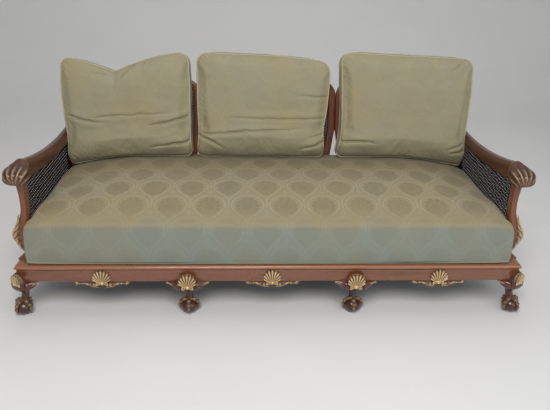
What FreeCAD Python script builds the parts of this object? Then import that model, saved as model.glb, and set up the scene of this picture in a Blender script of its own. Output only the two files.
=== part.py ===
import FreeCAD, Part
import Sketcher
import math
import os

# A three-seat sofa with a show-wood frame: short cabriole legs with claw and ball
# feet, a triple hooped cane back, cane sides under scrolled arms, a fixed sprung
# seat and three loose back cushions.
#
# X runs to the sitter's left as seen from the front (right in the front view), Y
# runs to the back and Z up. Depths are measured from the face of the front rail
# and the whole sofa is then moved forward, so that the origin lies on the floor
# under the middle of its outline.

SIZES = [
    # Seat frame
    ("rail_length", 1878, "front rail from end to end"),
    ("rail_height", 66, "height of the show-wood seat rails"),
    ("rail_thickness", 45, "thickness of the front rail"),
    ("rail_underside", 151, "underside of the seat rails above the floor"),
    ("nosing_drop", 13, "height of the nosing along the rails' top edge"),
    ("nosing_reach", 4, "how far the nosing stands in front of the rail's face"),
    ("frame_depth", 642, "front rail's face to the front of the rear posts"),
    ("back_rail_thickness", 48, "rear seat rail, front to back"),
    ("side_taper", 15, "how far each side rail draws in toward the back"),
    ("side_rail_inset", 61, "front rail's end to the inner face of the side rail"),
    ("cross_rail_width", 45, "width of the two rails across the seat"),
    ("cross_rail_height", 55, "height of the two rails across the seat"),
    ("cross_rail_lift", 4, "gap under the cross rails for the bottoming cloth"),
    ("block_side", 70, "short sides of the triangular corner blocks"),
    ("block_height", 45, "height of the corner blocks"),
    ("origin_setback", 385, "floor origin behind the front rail's face"),
    # Front legs and feet
    ("leg_station", 316.7, "middle leg's distance from the middle of the sofa"),
    ("ball_radius", 35, "ball of each front foot"),
    ("ball_flat_drop", 2, "depth of the flat cut under the ball"),
    ("ankle_width", 25, "width of the leg above the ball"),
    ("ankle_height", 86, "height of the ankle above the floor"),
    ("ankle_setback", 20, "ankle behind the middle of the ball"),
    ("knee_width", 62, "width of the knee under the rail"),
    ("knee_reach", 44, "knee in front of the middle of the ball"),
    ("corner_knee_reach", 31, "the same on the legs at the corners"),
    ("foot_setback", 25, "middle leg's ball behind the rail's face"),
    ("corner_foot_setback", 21, "corner leg's ball behind the rail's face"),
    ("corner_foot_spread", 5, "corner leg's ball outside the rail's end"),
    ("corner_knee_sway", 10, "corner knee nearer the rail's corner than its ball"),
    ("corner_turn", 28, "how far the corner legs are turned outward, degrees"),
    ("knee_top", 196, "top of the knee in front of the rail"),
    ("bracket_reach", 47, "length of a knee bracket beside the leg"),
    ("bracket_drop", 31, "height of a knee bracket at the leg"),
    ("bracket_thickness", 30, "thickness of a knee bracket"),
    ("bracket_setback", 2, "knee bracket's face behind the rail's face"),
    # Rear legs and the hooped back
    ("rear_leg_width", 45, "width of the rear legs"),
    ("rear_leg_foot", 38, "depth of the rear leg at the floor"),
    ("rear_leg_rake", 58, "how far the rear foot stands behind its top"),
    ("back_rake", 13.3, "lean of the back from upright, degrees"),
    ("back_thickness", 28, "thickness of the hooped back"),
    ("panel_width", 611, "width of each of the three hooped panels"),
    ("stile_width", 34, "width of the upright members of the back"),
    ("bottom_rail_low", 110, "back's bottom rail above the seat rails, along the lean"),
    ("bottom_rail_height", 40, "height of the back's bottom rail"),
    ("splay_top", 306, "where neighbouring hoops part, along the lean"),
    ("splay_gap", 26, "half the gap between hoops at the bottom rail"),
    ("stile_top", 445, "top of the stiles, along the lean"),
    ("shoulder_radius", 72, "outer radius of the hoops' shoulders"),
    ("shoulder_start", 10, "straight part of the crest above the stile"),
    ("crest_rise", 6, "rise of the crest between its shoulders"),
    # Cane
    ("cane_thickness", 2.5, "thickness of the woven cane"),
    ("cane_tuck", 8, "how far the cane is let into the wood"),
    ("cane_clearance", 0.3, "clearance round the cane in its groove"),
    ("cane_columns", 10, "gaps across a cane panel in this coarse net"),
    ("cane_rows", 6, "gaps up a cane panel in this coarse net"),
    ("side_cane_rows", 3, "gaps up a side panel in this coarse net"),
    ("cane_strand", 14, "solid width between two gaps of the coarse net"),
    # Arms
    ("arm_spacing", 1794, "distance between the middles of the two arms"),
    ("arm_width", 42, "width of the arm rail"),
    ("arm_front_height", 607, "top of the arm rail behind its terminal"),
    ("arm_back_height", 523, "top of the arm rail at the rear post"),
    ("arm_sag", 26, "how far the arm's top line dips below straight"),
    ("arm_front_depth", 78, "height of the arm rail's section at the front"),
    ("arm_back_depth", 50, "height of the arm rail's section at the back"),
    ("knuckle_width", 90, "width of the carved terminal of the arm"),
    ("knuckle_height", 78, "height of the carved terminal of the arm"),
    ("knuckle_setback", 47, "middle of the terminal behind the rail's face"),
    ("post_depth", 38, "arm post, front to back"),
    ("post_setback", 50, "arm post's foot behind the rail's face"),
    ("side_bar_width", 18, "thickness of the bar under the side cane"),
    ("side_bar_height", 30, "height of the bar under the side cane"),
    ("leaf_thickness", 4, "carved leaf on the arm post"),
    # Carved shells and aprons
    ("shell_width", 66, "width of a carved shell"),
    ("corner_shell_width", 60, "width of the shells on the corner legs"),
    ("corner_shell_shift", 12, "corner shell nearer the front rail than its knee"),
    ("shell_height", 60, "height of a carved shell above its hinge"),
    ("shell_thickness", 7, "thickness of a carved shell"),
    ("shell_lobes", 9, "flutes of a carved shell"),
    ("apron_width", 210, "width of a shaped apron under the rail"),
    ("apron_drop", 27, "depth of the apron in its middle"),
    ("apron_thickness", 16, "thickness of the apron"),
    ("apron_shell_low", 141, "hinge of the apron's shell above the floor"),
    ("knee_shell_low", 130, "hinge of the middle knees' shells above the floor"),
    ("corner_shell_low", 143, "hinge of the corner knees' shells above the floor"),
    # Upholstery
    ("seat_width", 1790, "seat at its front corners"),
    ("seat_back_width", 1772, "seat beside the arms"),
    ("seat_setback", 14, "seat's front face behind the rail's face"),
    ("seat_front_height", 381, "front edge of the seat above the floor"),
    ("seat_crown_height", 430, "crown of the seat above the floor"),
    ("seat_rear_height", 391, "rear edge of the seat above the floor"),
    ("seat_bulge", 4, "swell of the seat's front and side borders"),
    ("seat_lap", 30, "depth of the seat in front of the arm posts"),
    ("cloth_clearance", 1, "room kept round a soft part"),
    ("strap_width", 50, "width of the webbing straps"),
    ("strap_thickness", 1.5, "thickness of the webbing straps"),
    ("strap_pitch", 110, "distance between neighbouring straps"),
    ("bottoming_thickness", 1.5, "cloth tacked under the seat"),
    # Loose back cushions
    ("left_cushion_width", 548, "width of the left back cushion"),
    ("middle_cushion_width", 577, "width of the middle back cushion"),
    ("right_cushion_width", 573, "width of the right back cushion"),
    ("cushion_corner", 34, "rounding of a cushion's upper corners"),
    ("cushion_height", 449, "height of a back cushion at its border"),
    ("cushion_thickness", 138, "thickness of a back cushion over its crown"),
    ("cushion_border", 84, "distance between a back cushion's two piped edges"),
    ("cushion_waist", 7, "how far a cushion's sides draw in between its corners"),
    ("cushion_lift", 188, "cushion's lower corners above the seat rails, along the lean"),
    ("left_cushion_centre", -601, "middle of the left back cushion"),
    ("middle_cushion_centre", -24.5, "middle of the middle back cushion"),
    ("right_cushion_centre", 588.5, "middle of the right back cushion"),
    ("left_cushion_dip", 95, "slump in the left cushion's top edge"),
    ("cushion_dip", 6, "slump in the other cushions' top edges"),
    ("left_cushion_drop", 27, "how far the left cushion's outer corner has sunk"),
    ("middle_cushion_drop", 24, "how far the middle cushion's right corner has sunk"),
    ("right_cushion_drop", 10, "how far the right cushion's outer corner has sunk"),
]

LEFT = -1
RIGHT = 1
SIDES = (("left", LEFT), ("right", RIGHT))
UP = FreeCAD.Vector(0, 0, 1)
ACROSS = FreeCAD.Vector(1, 0, 0)

doc = FreeCAD.newDocument("CabrioleSofa")
sheet = doc.addObject("Spreadsheet::Sheet", "Sizes")
subparts = []


def fill_sheet():
    """Write every driving dimension into the sheet with its alias."""
    for row, (alias, value, note) in enumerate(SIZES, start=1):
        sheet.set("A%d" % row, note)
        sheet.set("B%d" % row, str(value))
        sheet.setAlias("B%d" % row, alias)
    doc.recompute()


def size(alias):
    """The value of one driving dimension."""
    return float(sheet.get(alias))


def vec(x, y, z):
    return FreeCAD.Vector(x, y, z)


def keep(obj, label):
    """Label a finished sub-part and put it on the list that is written out."""
    obj.Label = label
    subparts.append(obj)
    return obj


def floor_placement():
    """Moves depths measured from the front rail to the floor origin."""
    return FreeCAD.Placement(vec(0, -size("origin_setback"), 0), FreeCAD.Rotation())


def lean_placement():
    """Stands the back's flat drawing up along its lean, front face outward."""
    foot = vec(0, size("frame_depth"), rail_top())
    lean = FreeCAD.Rotation(ACROSS, 90 - size("back_rake"))
    return FreeCAD.Placement(foot, lean)


def rail_top():
    return size("rail_underside") + size("rail_height")


def add_shape(label, shape):
    """A finished sub-part whose shape is worked out from the sheet's sizes."""
    obj = doc.addObject("Part::Feature", label)
    obj.Shape = shape
    obj.Placement = floor_placement().multiply(obj.Placement)
    return keep(obj, label)


def add_tool(label, shape):
    """A cutting tool in the sofa's own place, which is not written out."""
    obj = doc.addObject("Part::Feature", label)
    obj.Shape = shape
    obj.Placement = floor_placement().multiply(obj.Placement)
    obj.Label = label
    return obj


def add_profile_body(name, role, vertices, length, symmetric=True, offset=None):
    """A body padded from a straight-sided profile whose corners follow the sheet."""
    body = doc.addObject("PartDesign::Body", name)
    sketch = body.newObject("Sketcher::SketchObject", name + "_profile")
    plane = [item for item in body.Origin.OriginFeatures if item.Role == role][0]
    sketch.AttachmentSupport = [(plane, "")]
    sketch.MapMode = "FlatFace"
    if offset:
        sketch.setExpression("AttachmentOffset.Base.z", offset)
    count = len(vertices)
    corners = [vec(math.cos(math.tau * i / count), math.sin(math.tau * i / count), 0)
               for i in range(count)]
    for i in range(count):
        sketch.addGeometry(Part.LineSegment(corners[i], corners[(i + 1) % count]))
    for i in range(count):
        sketch.addConstraint(Sketcher.Constraint("Coincident", i, 2, (i + 1) % count, 1))
    for i, (along, up) in enumerate(vertices):
        for kind, place in (("DistanceX", along), ("DistanceY", up)):
            index = sketch.addConstraint(Sketcher.Constraint(kind, -1, 1, i, 1, 1.0 + i))
            sketch.setExpression("Constraints[%d]" % index, place)
    pad = body.newObject("PartDesign::Pad", name + "_pad")
    pad.Profile = sketch
    pad.setExpression("Length", length)
    if symmetric:
        pad.SideType = "Symmetric"
    doc.recompute()
    return body


def on_floor(body, across=None, up=None):
    """Bind a body's place to the sheet, in depths from the front rail's face."""
    body.setExpression("Placement.Base.y", "-Sizes.origin_setback")
    if across:
        body.setExpression("Placement.Base.x", across)
    if up:
        body.setExpression("Placement.Base.z", up)
    return body


def on_lean(body, across="0"):
    """Bind a body drawn flat to the back's lean."""
    body.Placement = FreeCAD.Placement(vec(0, 0, 0), FreeCAD.Rotation(ACROSS, 1))
    body.setExpression("Placement.Rotation.Angle", "90 - Sizes.back_rake")
    body.setExpression("Placement.Base.x", across)
    body.setExpression("Placement.Base.y", "Sizes.frame_depth - Sizes.origin_setback")
    body.setExpression("Placement.Base.z", "Sizes.rail_underside + Sizes.rail_height")
    return body


def add_mirror(label, source):
    """The matching piece on the other side of the sofa."""
    mirror = doc.addObject("Part::Mirroring", label)
    mirror.Source = source
    mirror.Normal = (1, 0, 0)
    mirror.Base = (0, 0, 0)
    return keep(mirror, label)


def add_cut(label, base, tool):
    """One piece with another shape let into it."""
    cut = doc.addObject("Part::Cut", label)
    cut.Base = base
    cut.Tool = tool
    return keep(cut, label)


def polygon_face(points):
    return Part.Face(Part.makePolygon(points + points[:1]))


def outline_face(edges):
    return Part.Face(Part.Wire(edges))


def arc_edge(start, middle, end):
    return Part.Arc(start, middle, end).toShape()


def line_edge(start, end):
    return Part.makeLine(start, end)


def fused(shapes):
    whole = shapes[0].fuse(shapes[1:]) if len(shapes) > 1 else shapes[0]
    return whole.removeSplitter()


def largest_solid(shape):
    """The main piece, without the chips that a cut leaves."""
    return max(shape.Solids, key=lambda solid: solid.Volume)


def eight_sided(half_wide, half_deep, cut):
    """Corners of a rectangle whose corners are cut off at 45 degrees."""
    wide = half_wide - cut
    deep = half_deep - cut
    return [(half_wide, -deep), (half_wide, deep), (wide, half_deep), (-wide, half_deep),
            (-half_wide, deep), (-half_wide, -deep), (-wide, -half_deep), (wide, -half_deep)]


def section(cx, cy, cz, half_x, half_y, cut):
    """A level, eight-sided section."""
    return [vec(cx + x, cy + y, cz) for x, y in eight_sided(half_x, half_y, cut)]


def upright_section(cx, cy, cz, half_x, half_z, cut):
    """The same section standing upright across the arm."""
    return [vec(cx + x, cy, cz + z) for x, z in eight_sided(half_x, half_z, cut)]


def facets(a, b, c, d):
    """One flat face through four corners, or two where they don't lie in a plane."""
    normal = (b - a).cross(c - a)
    if normal.Length > 1e-6 and abs((d - a).dot(normal.normalize())) < 1e-6:
        return [polygon_face([a, b, c, d])]
    return [polygon_face([a, b, c]), polygon_face([a, c, d])]


def carved_solid(rings):
    """A closed solid with flat facets through rings of the same number of points."""
    faces = [polygon_face(rings[0]), polygon_face(rings[-1])]
    for low, high in zip(rings, rings[1:]):
        count = len(low)
        for i in range(count):
            j = (i + 1) % count
            faces += facets(low[i], low[j], high[j], high[i])
    solid = Part.Solid(Part.Shell(faces))
    if solid.Volume < 0:
        solid.reverse()
    return solid


# Seat frame

def add_front_rail():
    """Front rail with its nosing, as one moulded profile along the sofa."""
    top = "Sizes.rail_underside + Sizes.rail_height"
    profile = [
        ("0", "Sizes.rail_underside"),
        ("Sizes.rail_thickness", "Sizes.rail_underside"),
        ("Sizes.rail_thickness", top),
        ("Sizes.nosing_drop * 0.3 - Sizes.nosing_reach", top),
        ("-Sizes.nosing_reach", top + " - Sizes.nosing_drop * 0.3"),
        ("-Sizes.nosing_reach", top + " - Sizes.nosing_drop * 0.7"),
        ("0", top + " - Sizes.nosing_drop"),
    ]
    body = add_profile_body("front_rail_body", "YZ_Plane", profile, "Sizes.rail_length")
    return keep(on_floor(body), "front_rail")


def add_side_rails():
    """Side rails, straight inside and drawn in toward the back outside."""
    end = "Sizes.rail_length / 2"
    plan = [
        (end + " - Sizes.side_rail_inset", "Sizes.rail_thickness"),
        (end, "Sizes.rail_thickness"),
        (end + " - Sizes.side_taper", "Sizes.frame_depth"),
        (end + " - Sizes.side_rail_inset", "Sizes.frame_depth"),
    ]
    body = add_profile_body("side_rail_body", "XY_Plane", plan, "Sizes.rail_height",
                            symmetric=False, offset="Sizes.rail_underside")
    keep(on_floor(body), "side_rail_right")
    add_mirror("side_rail_left", body)


def rear_post_inner():
    """Expression for the inner face of the rear posts."""
    return "Sizes.panel_width * 1.5 - Sizes.rear_leg_width"


def add_back_rail():
    """Rear seat rail between the rear posts."""
    back = "Sizes.frame_depth + Sizes.back_rail_thickness"
    top = "Sizes.rail_underside + Sizes.rail_height"
    profile = [
        ("Sizes.frame_depth", "Sizes.rail_underside"),
        (back, "Sizes.rail_underside"),
        (back, top),
        ("Sizes.frame_depth", top),
    ]
    length = "2 * (" + rear_post_inner() + ")"
    body = add_profile_body("back_rail_body", "YZ_Plane", profile, length)
    keep(on_floor(body), "back_rail")


def add_cross_rails():
    """Two rails across the seat, behind the middle legs."""
    low = "Sizes.rail_underside + Sizes.cross_rail_lift"
    high = low + " + Sizes.cross_rail_height"
    profile = [
        ("Sizes.rail_thickness", low),
        ("Sizes.frame_depth", low),
        ("Sizes.frame_depth", high),
        ("Sizes.rail_thickness", high),
    ]
    body = add_profile_body("cross_rail_body", "YZ_Plane", profile, "Sizes.cross_rail_width")
    keep(on_floor(body, across="Sizes.leg_station"), "cross_rail_right")
    add_mirror("cross_rail_left", body)


def add_corner_blocks():
    """Four triangular blocks glued into the corners of the seat frame."""
    inner = size("rail_length") / 2 - size("side_rail_inset")
    low = rail_top() - size("block_height") - size("cross_rail_lift")
    blocks = []
    for _, side in SIDES:
        for depth, inward in ((size("rail_thickness"), 1), (size("frame_depth"), -1)):
            corner = vec(side * inner, depth, low)
            across = corner + vec(-side * size("block_side"), 0, 0)
            along = corner + vec(0, inward * size("block_side"), 0)
            blocks.append(polygon_face([corner, across, along]).extrude(UP * size("block_height")))
    add_shape("corner_blocks", Part.makeCompound(blocks))


# Front legs, in a leg's own place: the ball's contact point is the origin and the
# knee faces -Y

def faceted_ball():
    """The ball as a turning with twenty sides and a flat under it."""
    radius = size("ball_radius")
    middle = radius - size("ball_flat_drop")
    lowest = -math.asin(middle / radius)
    highest = math.radians(78)
    sides = 20
    bands = 9
    rings = []
    for i in range(bands + 1):
        angle = lowest + (highest - lowest) * i / bands
        reach = radius * math.cos(angle)
        rings.append([vec(reach * math.cos(math.tau * k / sides), reach * math.sin(math.tau * k / sides),
                          middle + radius * math.sin(angle)) for k in range(sides)])
    return carved_solid(rings)


def talon(heading):
    """One bird's talon that runs from the ankle down over the ball."""
    radius = size("ball_radius")
    middle = vec(0, 0, radius - size("ball_flat_drop"))
    stations = ((14, 15, 8), (44, 14, 9), (72, 12, 7), (100, 10, 7), (126, 4, 2))
    out = vec(math.cos(heading), math.sin(heading), 0)
    beside = vec(-math.sin(heading), math.cos(heading), 0)
    rings = []
    for polar, width, height in stations:
        tilt = math.radians(polar)
        normal = out * math.sin(tilt) + UP * math.cos(tilt)
        low = middle + normal * (radius - 4)
        high = middle + normal * (radius + height * 0.6)
        rings.append([low - beside * (width / 2), low + beside * (width / 2),
                      high + beside * (width / 4), high - beside * (width / 4)])
    return carved_solid(rings)


def cabriole_shaft(reach, back, sway):
    """The leg's double curve from the ball up to the rail, its knee moved aside by sway."""
    ankle = size("ankle_width") / 2
    knee = size("knee_width") / 2
    low = size("ankle_height")
    rise = size("rail_underside") - low
    bend = size("ankle_setback")
    stations = [
        (low - 22, bend * 0.4 - 15, bend * 0.4 + 15, 15, 6),
        (low - 4, bend - ankle, bend + ankle, ankle, 5),
        (low + rise * 0.18, bend - ankle - 5, bend + ankle + 2, ankle + 3, 6),
        (low + rise * 0.38, -reach * 0.34, bend + ankle + 5, knee * 0.74, 8),
        (low + rise * 0.58, -reach * 0.8, (bend + ankle + back) / 2 + 4, knee * 0.92, 11),
        (low + rise * 0.8, -reach, back, knee, 13),
        (low + rise, -reach, back, knee, 14),
    ]
    rings = []
    for z, front, rear, half, cut in stations:
        aside = sway * max(0.0, (z - low) / rise)
        rings.append(section(aside, (front + rear) / 2, z, half, (rear - front) / 2, cut))
    return carved_solid(rings)


def knee_lobe(reach, sway):
    """The top of the knee, which laps up over the rail's face."""
    low = size("rail_underside") - 8
    rise = size("knee_top") - low
    knee = size("knee_width") / 2
    deep = size("rail_thickness") * 0.5
    stations = [
        (low, reach * 0.99, knee * 0.98, 14),
        (low + rise * 0.5, reach * 0.95, knee * 0.9, 13),
        (low + rise * 0.8, reach * 0.85, knee * 0.7, 12),
        (low + rise, reach * 0.72, knee * 0.4, 6),
    ]
    rings = []
    for z, front, half, cut in stations:
        rings.append(section(sway, (deep - front) / 2, z, half, (deep + front) / 2, cut))
    return carved_solid(rings)


def front_leg_blank(reach, back, sway):
    pieces = [cabriole_shaft(reach, back, sway), faceted_ball(), knee_lobe(reach, sway)]
    pieces += [talon(math.radians(heading)) for heading in (0, 90, 180, 270)]
    return fused(pieces)


def rail_envelope():
    """The space that the seat rails fill, for notching the knees round them."""
    end = size("rail_length") / 2
    low = size("rail_underside")
    nose = size("nosing_reach")
    height = size("rail_height")
    body = Part.makeBox(2 * end, size("frame_depth"), height, vec(-end, 0, low))
    band = Part.makeBox(2 * end, size("rail_thickness"), size("nosing_drop"),
                        vec(-end, -nose, low + height - size("nosing_drop")))
    return body.fuse(band)


def leg_places():
    """Name, ball centre, turn about the upright and knee reach of each front leg."""
    corner = size("rail_length") / 2 + size("corner_foot_spread")
    station = size("leg_station")
    middle_depth = size("foot_setback")
    corner_depth = size("corner_foot_setback")
    return (
        ("left", -corner, corner_depth, -size("corner_turn"), size("corner_knee_reach")),
        ("mid_left", -station, middle_depth, 0, size("knee_reach")),
        ("mid_right", station, middle_depth, 0, size("knee_reach")),
        ("right", corner, corner_depth, size("corner_turn"), size("corner_knee_reach")),
    )


def carved_shell(width):
    """A fluted scallop shell facing -Y, with its hinge over the origin."""
    height = size("shell_height")
    thick = size("shell_thickness")
    flutes = int(size("shell_lobes"))
    start = math.radians(-20)
    sweep = math.pi - 2 * start
    centre = height * 0.46
    hinge = width * 0.12

    def rim(share, depths):
        ring = [vec(-hinge * share, -depths[0], centre * (1 - share)),
                vec(hinge * share, -depths[0], centre * (1 - share))]
        for i in range(2 * flutes + 1):
            valley = i % 2 == 0
            angle = start + sweep * i / (2 * flutes)
            reach = share * (0.91 if valley else 1.0)
            ring.append(vec(width / 2 * reach * math.cos(angle), -depths[0 if valley else 1],
                            centre + height * 0.54 * reach * math.sin(angle)))
        return ring

    back = rim(1.0, (0, 0))
    edge = rim(1.0, (thick * 0.25, thick * 0.55))
    dome = rim(0.62, (thick * 0.6, thick))
    boss = rim(0.2, (thick * 0.8, thick * 0.8))
    return carved_solid([back, edge, dome, boss])


def bracket(toward):
    """A scrolled bracket beside the knee, drawn in the XZ plane and extruded back."""
    top = size("rail_underside")
    start = size("knee_width") / 2
    reach = start + size("bracket_reach")
    low = top - size("bracket_drop")
    tip = top - size("bracket_drop") * 0.15
    points = [vec(toward * x, 0, z) for x, z in (
        (start, top), (reach, top), (reach, tip), (start * 0.5 + reach * 0.5, (tip + low) / 2 - 4),
        (start, low))]
    edges = [line_edge(points[0], points[1]), line_edge(points[1], points[2]),
             arc_edge(points[2], points[3], points[4]), line_edge(points[4], points[0])]
    return outline_face(edges).extrude(vec(0, size("bracket_thickness"), 0))


def add_front_legs():
    """Four carved legs with their shells and knee brackets."""
    rails = rail_envelope()
    inset = size("bracket_setback")
    for name, across, depth, turn, reach in leg_places():
        place = FreeCAD.Placement(vec(across, depth, 0), FreeCAD.Rotation(UP, turn))
        middle = turn == 0
        sway = 0 if middle else -math.copysign(size("corner_knee_sway"), across)
        back = size("rail_thickness") - depth if middle else depth * 2
        leg = front_leg_blank(reach, back, sway)
        leg.Placement = place
        leg = leg.cut(rails)
        shell = carved_shell(size("shell_width") if middle else size("corner_shell_width"))
        low = size("knee_shell_low") if middle else size("corner_shell_low")
        toward_front = 0 if middle else math.copysign(size("corner_shell_shift"), sway)
        shell.translate(vec(sway + toward_front, -reach * 0.9, low))
        shell.Placement = place.multiply(shell.Placement)
        shell = largest_solid(shell.cut(leg).cut(rails))
        add_shape("front_leg_" + name, leg)
        add_shape("knee_shell_" + name, shell)
        if middle:
            pair = [bracket(LEFT), bracket(RIGHT)]
            for piece in pair:
                piece.translate(vec(across, inset, 0))
        else:
            side = LEFT if across < 0 else RIGHT
            along_front = bracket(-side)
            along_front.translate(vec(across, inset, 0))
            along_side = bracket(RIGHT)
            along_side.rotate(vec(0, 0, 0), UP, 90)
            edge = size("rail_length") / 2 - inset
            shift = edge if side == RIGHT else -edge + size("bracket_thickness")
            along_side.translate(vec(shift, depth, 0))
            pair = [along_front, along_side]
        add_shape("knee_brackets_" + name, Part.makeCompound([piece.cut(leg) for piece in pair]))


def add_aprons():
    """Three shaped aprons under the front rail, each with a carved shell over it."""
    top = size("rail_underside")
    half = size("apron_width") / 2
    low = top - size("apron_drop")
    lip = top - 7
    for name, across in (("left", -2 * size("leg_station")), ("centre", 0),
                         ("right", 2 * size("leg_station"))):
        points = [vec(across + x * half, size("bracket_setback"), z) for x, z in (
            (1, top), (1, lip), (0.8, top - 11), (0.62, top - 8), (0.5, top - 12),
            (0.36, low + 4), (0, low), (-0.36, low + 4), (-0.5, top - 12), (-0.62, top - 8),
            (-0.8, top - 11), (-1, lip), (-1, top))]
        edges = [line_edge(points[0], points[1]),
                 arc_edge(points[1], points[2], points[3]),
                 arc_edge(points[3], points[4], points[5]),
                 arc_edge(points[5], points[6], points[7]),
                 arc_edge(points[7], points[8], points[9]),
                 arc_edge(points[9], points[10], points[11]),
                 line_edge(points[11], points[12]),
                 line_edge(points[12], points[0])]
        add_shape("apron_" + name, outline_face(edges).extrude(vec(0, size("apron_thickness"), 0)))
        shell = carved_shell(size("shell_width"))
        shell.translate(vec(across, 0, size("apron_shell_low")))
        add_shape("apron_shell_" + name, shell)


# Rear legs and the hooped back

def add_rear_posts(grooves):
    """Rear legs that run up into the outer stiles of the back, each of one piece."""
    front = "Sizes.frame_depth"
    rail_low = "Sizes.rail_underside"
    rail_high = "Sizes.rail_underside + Sizes.rail_height"
    back = "Sizes.frame_depth + Sizes.back_rail_thickness"
    rise = " * cos(Sizes.back_rake * 1 deg)"
    run = " * sin(Sizes.back_rake * 1 deg)"
    leg = [
        (front + " + Sizes.rear_leg_rake", "0"),
        (front + " + Sizes.rear_leg_rake + Sizes.rear_leg_foot", "0"),
        (back, rail_low),
        (back, rail_high),
        (front, rail_high),
        (front, rail_low),
    ]
    stile = [
        (front, rail_high),
        (back, rail_high),
        (front + " + Sizes.bottom_rail_low" + run + " + Sizes.back_thickness" + rise,
         rail_high + " + Sizes.bottom_rail_low" + rise + " - Sizes.back_thickness" + run),
        (front + " + Sizes.stile_top" + run + " + Sizes.back_thickness" + rise,
         rail_high + " + Sizes.stile_top" + rise + " - Sizes.back_thickness" + run),
        (front + " + Sizes.stile_top" + run, rail_high + " + Sizes.stile_top" + rise),
    ]
    lower = add_profile_body("rear_leg_body", "YZ_Plane", leg, "Sizes.rear_leg_width")
    on_floor(lower, across="Sizes.panel_width * 1.5 - Sizes.rear_leg_width / 2")
    upper = add_profile_body("outer_stile_body", "YZ_Plane", stile, "Sizes.stile_width")
    on_floor(upper, across="Sizes.panel_width * 1.5 - Sizes.stile_width / 2")
    whole = doc.addObject("Part::Fuse", "rear_post_blank")
    whole.Base = lower
    whole.Tool = upper
    right = add_cut("back_post_right", whole, grooves)
    add_mirror("back_post_left", right)


def add_rear_middle_legs():
    """Two plain raked legs under the rear rail."""
    front = "Sizes.frame_depth"
    leg = [
        (front + " + Sizes.rear_leg_rake", "0"),
        (front + " + Sizes.rear_leg_rake + Sizes.rear_leg_foot", "0"),
        (front + " + Sizes.back_rail_thickness", "Sizes.rail_underside"),
        (front, "Sizes.rail_underside"),
    ]
    body = add_profile_body("rear_middle_leg_body", "YZ_Plane", leg, "Sizes.rear_leg_width")
    keep(on_floor(body, across="Sizes.leg_station"), "back_leg_mid_right")
    add_mirror("back_leg_mid_left", body)


def add_back_bottom_rail(grooves):
    """Bottom rail of the cane back, between the rear posts."""
    end = "Sizes.panel_width * 1.5 - Sizes.stile_width"
    high = "Sizes.bottom_rail_low + Sizes.bottom_rail_height"
    outline = [
        ("-(" + end + ")", "Sizes.bottom_rail_low"),
        (end, "Sizes.bottom_rail_low"),
        (end, high),
        ("-(" + end + ")", high),
    ]
    body = add_profile_body("bottom_rail_body", "XY_Plane", outline, "Sizes.back_thickness",
                            symmetric=False, offset="-Sizes.back_thickness")
    add_cut("back_bottom_rail", on_lean(body), grooves)


def add_inner_stiles(grooves):
    """Four inner stiles, which touch in pairs above and part below."""
    low = "Sizes.bottom_rail_low + Sizes.bottom_rail_height"
    for name, junction in (("left", LEFT), ("right", RIGHT)):
        for place, toward in (("outer", junction), ("inner", -junction)):
            sign = "" if toward > 0 else "-"
            outline = [
                (sign + "Sizes.splay_gap", low),
                (sign + "(Sizes.splay_gap + Sizes.stile_width)", low),
                (sign + "Sizes.stile_width", "Sizes.splay_top"),
                (sign + "Sizes.stile_width", "Sizes.stile_top"),
                ("0", "Sizes.stile_top"),
                ("0", "Sizes.splay_top"),
            ]
            label = "back_stile_%s_%s" % (name, place)
            body = add_profile_body(label + "_body", "XY_Plane", outline, "Sizes.back_thickness",
                                    symmetric=False, offset="-Sizes.back_thickness")
            across = "Sizes.panel_width / 2" if junction > 0 else "-Sizes.panel_width / 2"
            add_cut(label, on_lean(body, across), grooves)


def panel_centres():
    return (("left", -size("panel_width")), ("centre", 0.0), ("right", size("panel_width")))


def hoop_top_edges(centre, grow):
    """The hoop's top from right to left, its outer edge moved inward by grow."""
    half = size("panel_width") / 2 - grow
    radius = size("shoulder_radius") - grow
    start = size("stile_top") + size("shoulder_start")
    rise = size("crest_rise")
    turn = math.sqrt(0.5)
    flank = half - radius
    right_foot = vec(centre + half, start, 0)
    right_turn = vec(centre + flank + radius * turn, start + radius * turn, 0)
    right_top = vec(centre + flank, start + radius, 0)
    crown = vec(centre, start + radius + rise, 0)
    left_top = vec(centre - flank, start + radius, 0)
    left_turn = vec(centre - flank - radius * turn, start + radius * turn, 0)
    left_foot = vec(centre - half, start, 0)
    return [arc_edge(right_foot, right_turn, right_top), arc_edge(right_top, crown, left_top),
            arc_edge(left_top, left_turn, left_foot)]


def add_crest_rails(grooves):
    """Three arched crest rails that close the hoops over their stiles."""
    low = size("stile_top")
    half = size("panel_width") / 2
    inner_half = half - size("stile_width")
    start = low + size("shoulder_start")
    for name, centre in panel_centres():
        outer = hoop_top_edges(centre, 0)
        inner = [edge.reversed() for edge in reversed(hoop_top_edges(centre, size("stile_width")))]
        feet = [vec(centre - half, low, 0), vec(centre - inner_half, low, 0)]
        far = [vec(centre + inner_half, low, 0), vec(centre + half, low, 0)]
        edges = outer + [line_edge(vec(centre - half, start, 0), feet[0]),
                         line_edge(feet[0], feet[1]),
                         line_edge(feet[1], vec(centre - inner_half, start, 0))]
        edges += inner + [line_edge(vec(centre + inner_half, start, 0), far[0]),
                          line_edge(far[0], far[1]),
                          line_edge(far[1], vec(centre + half, start, 0))]
        crest = outline_face(edges).extrude(vec(0, 0, -size("back_thickness")))
        crest.Placement = lean_placement()
        blank = add_tool("crest_blank_" + name, crest)
        add_cut("crest_rail_" + name, blank, grooves)


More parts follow.
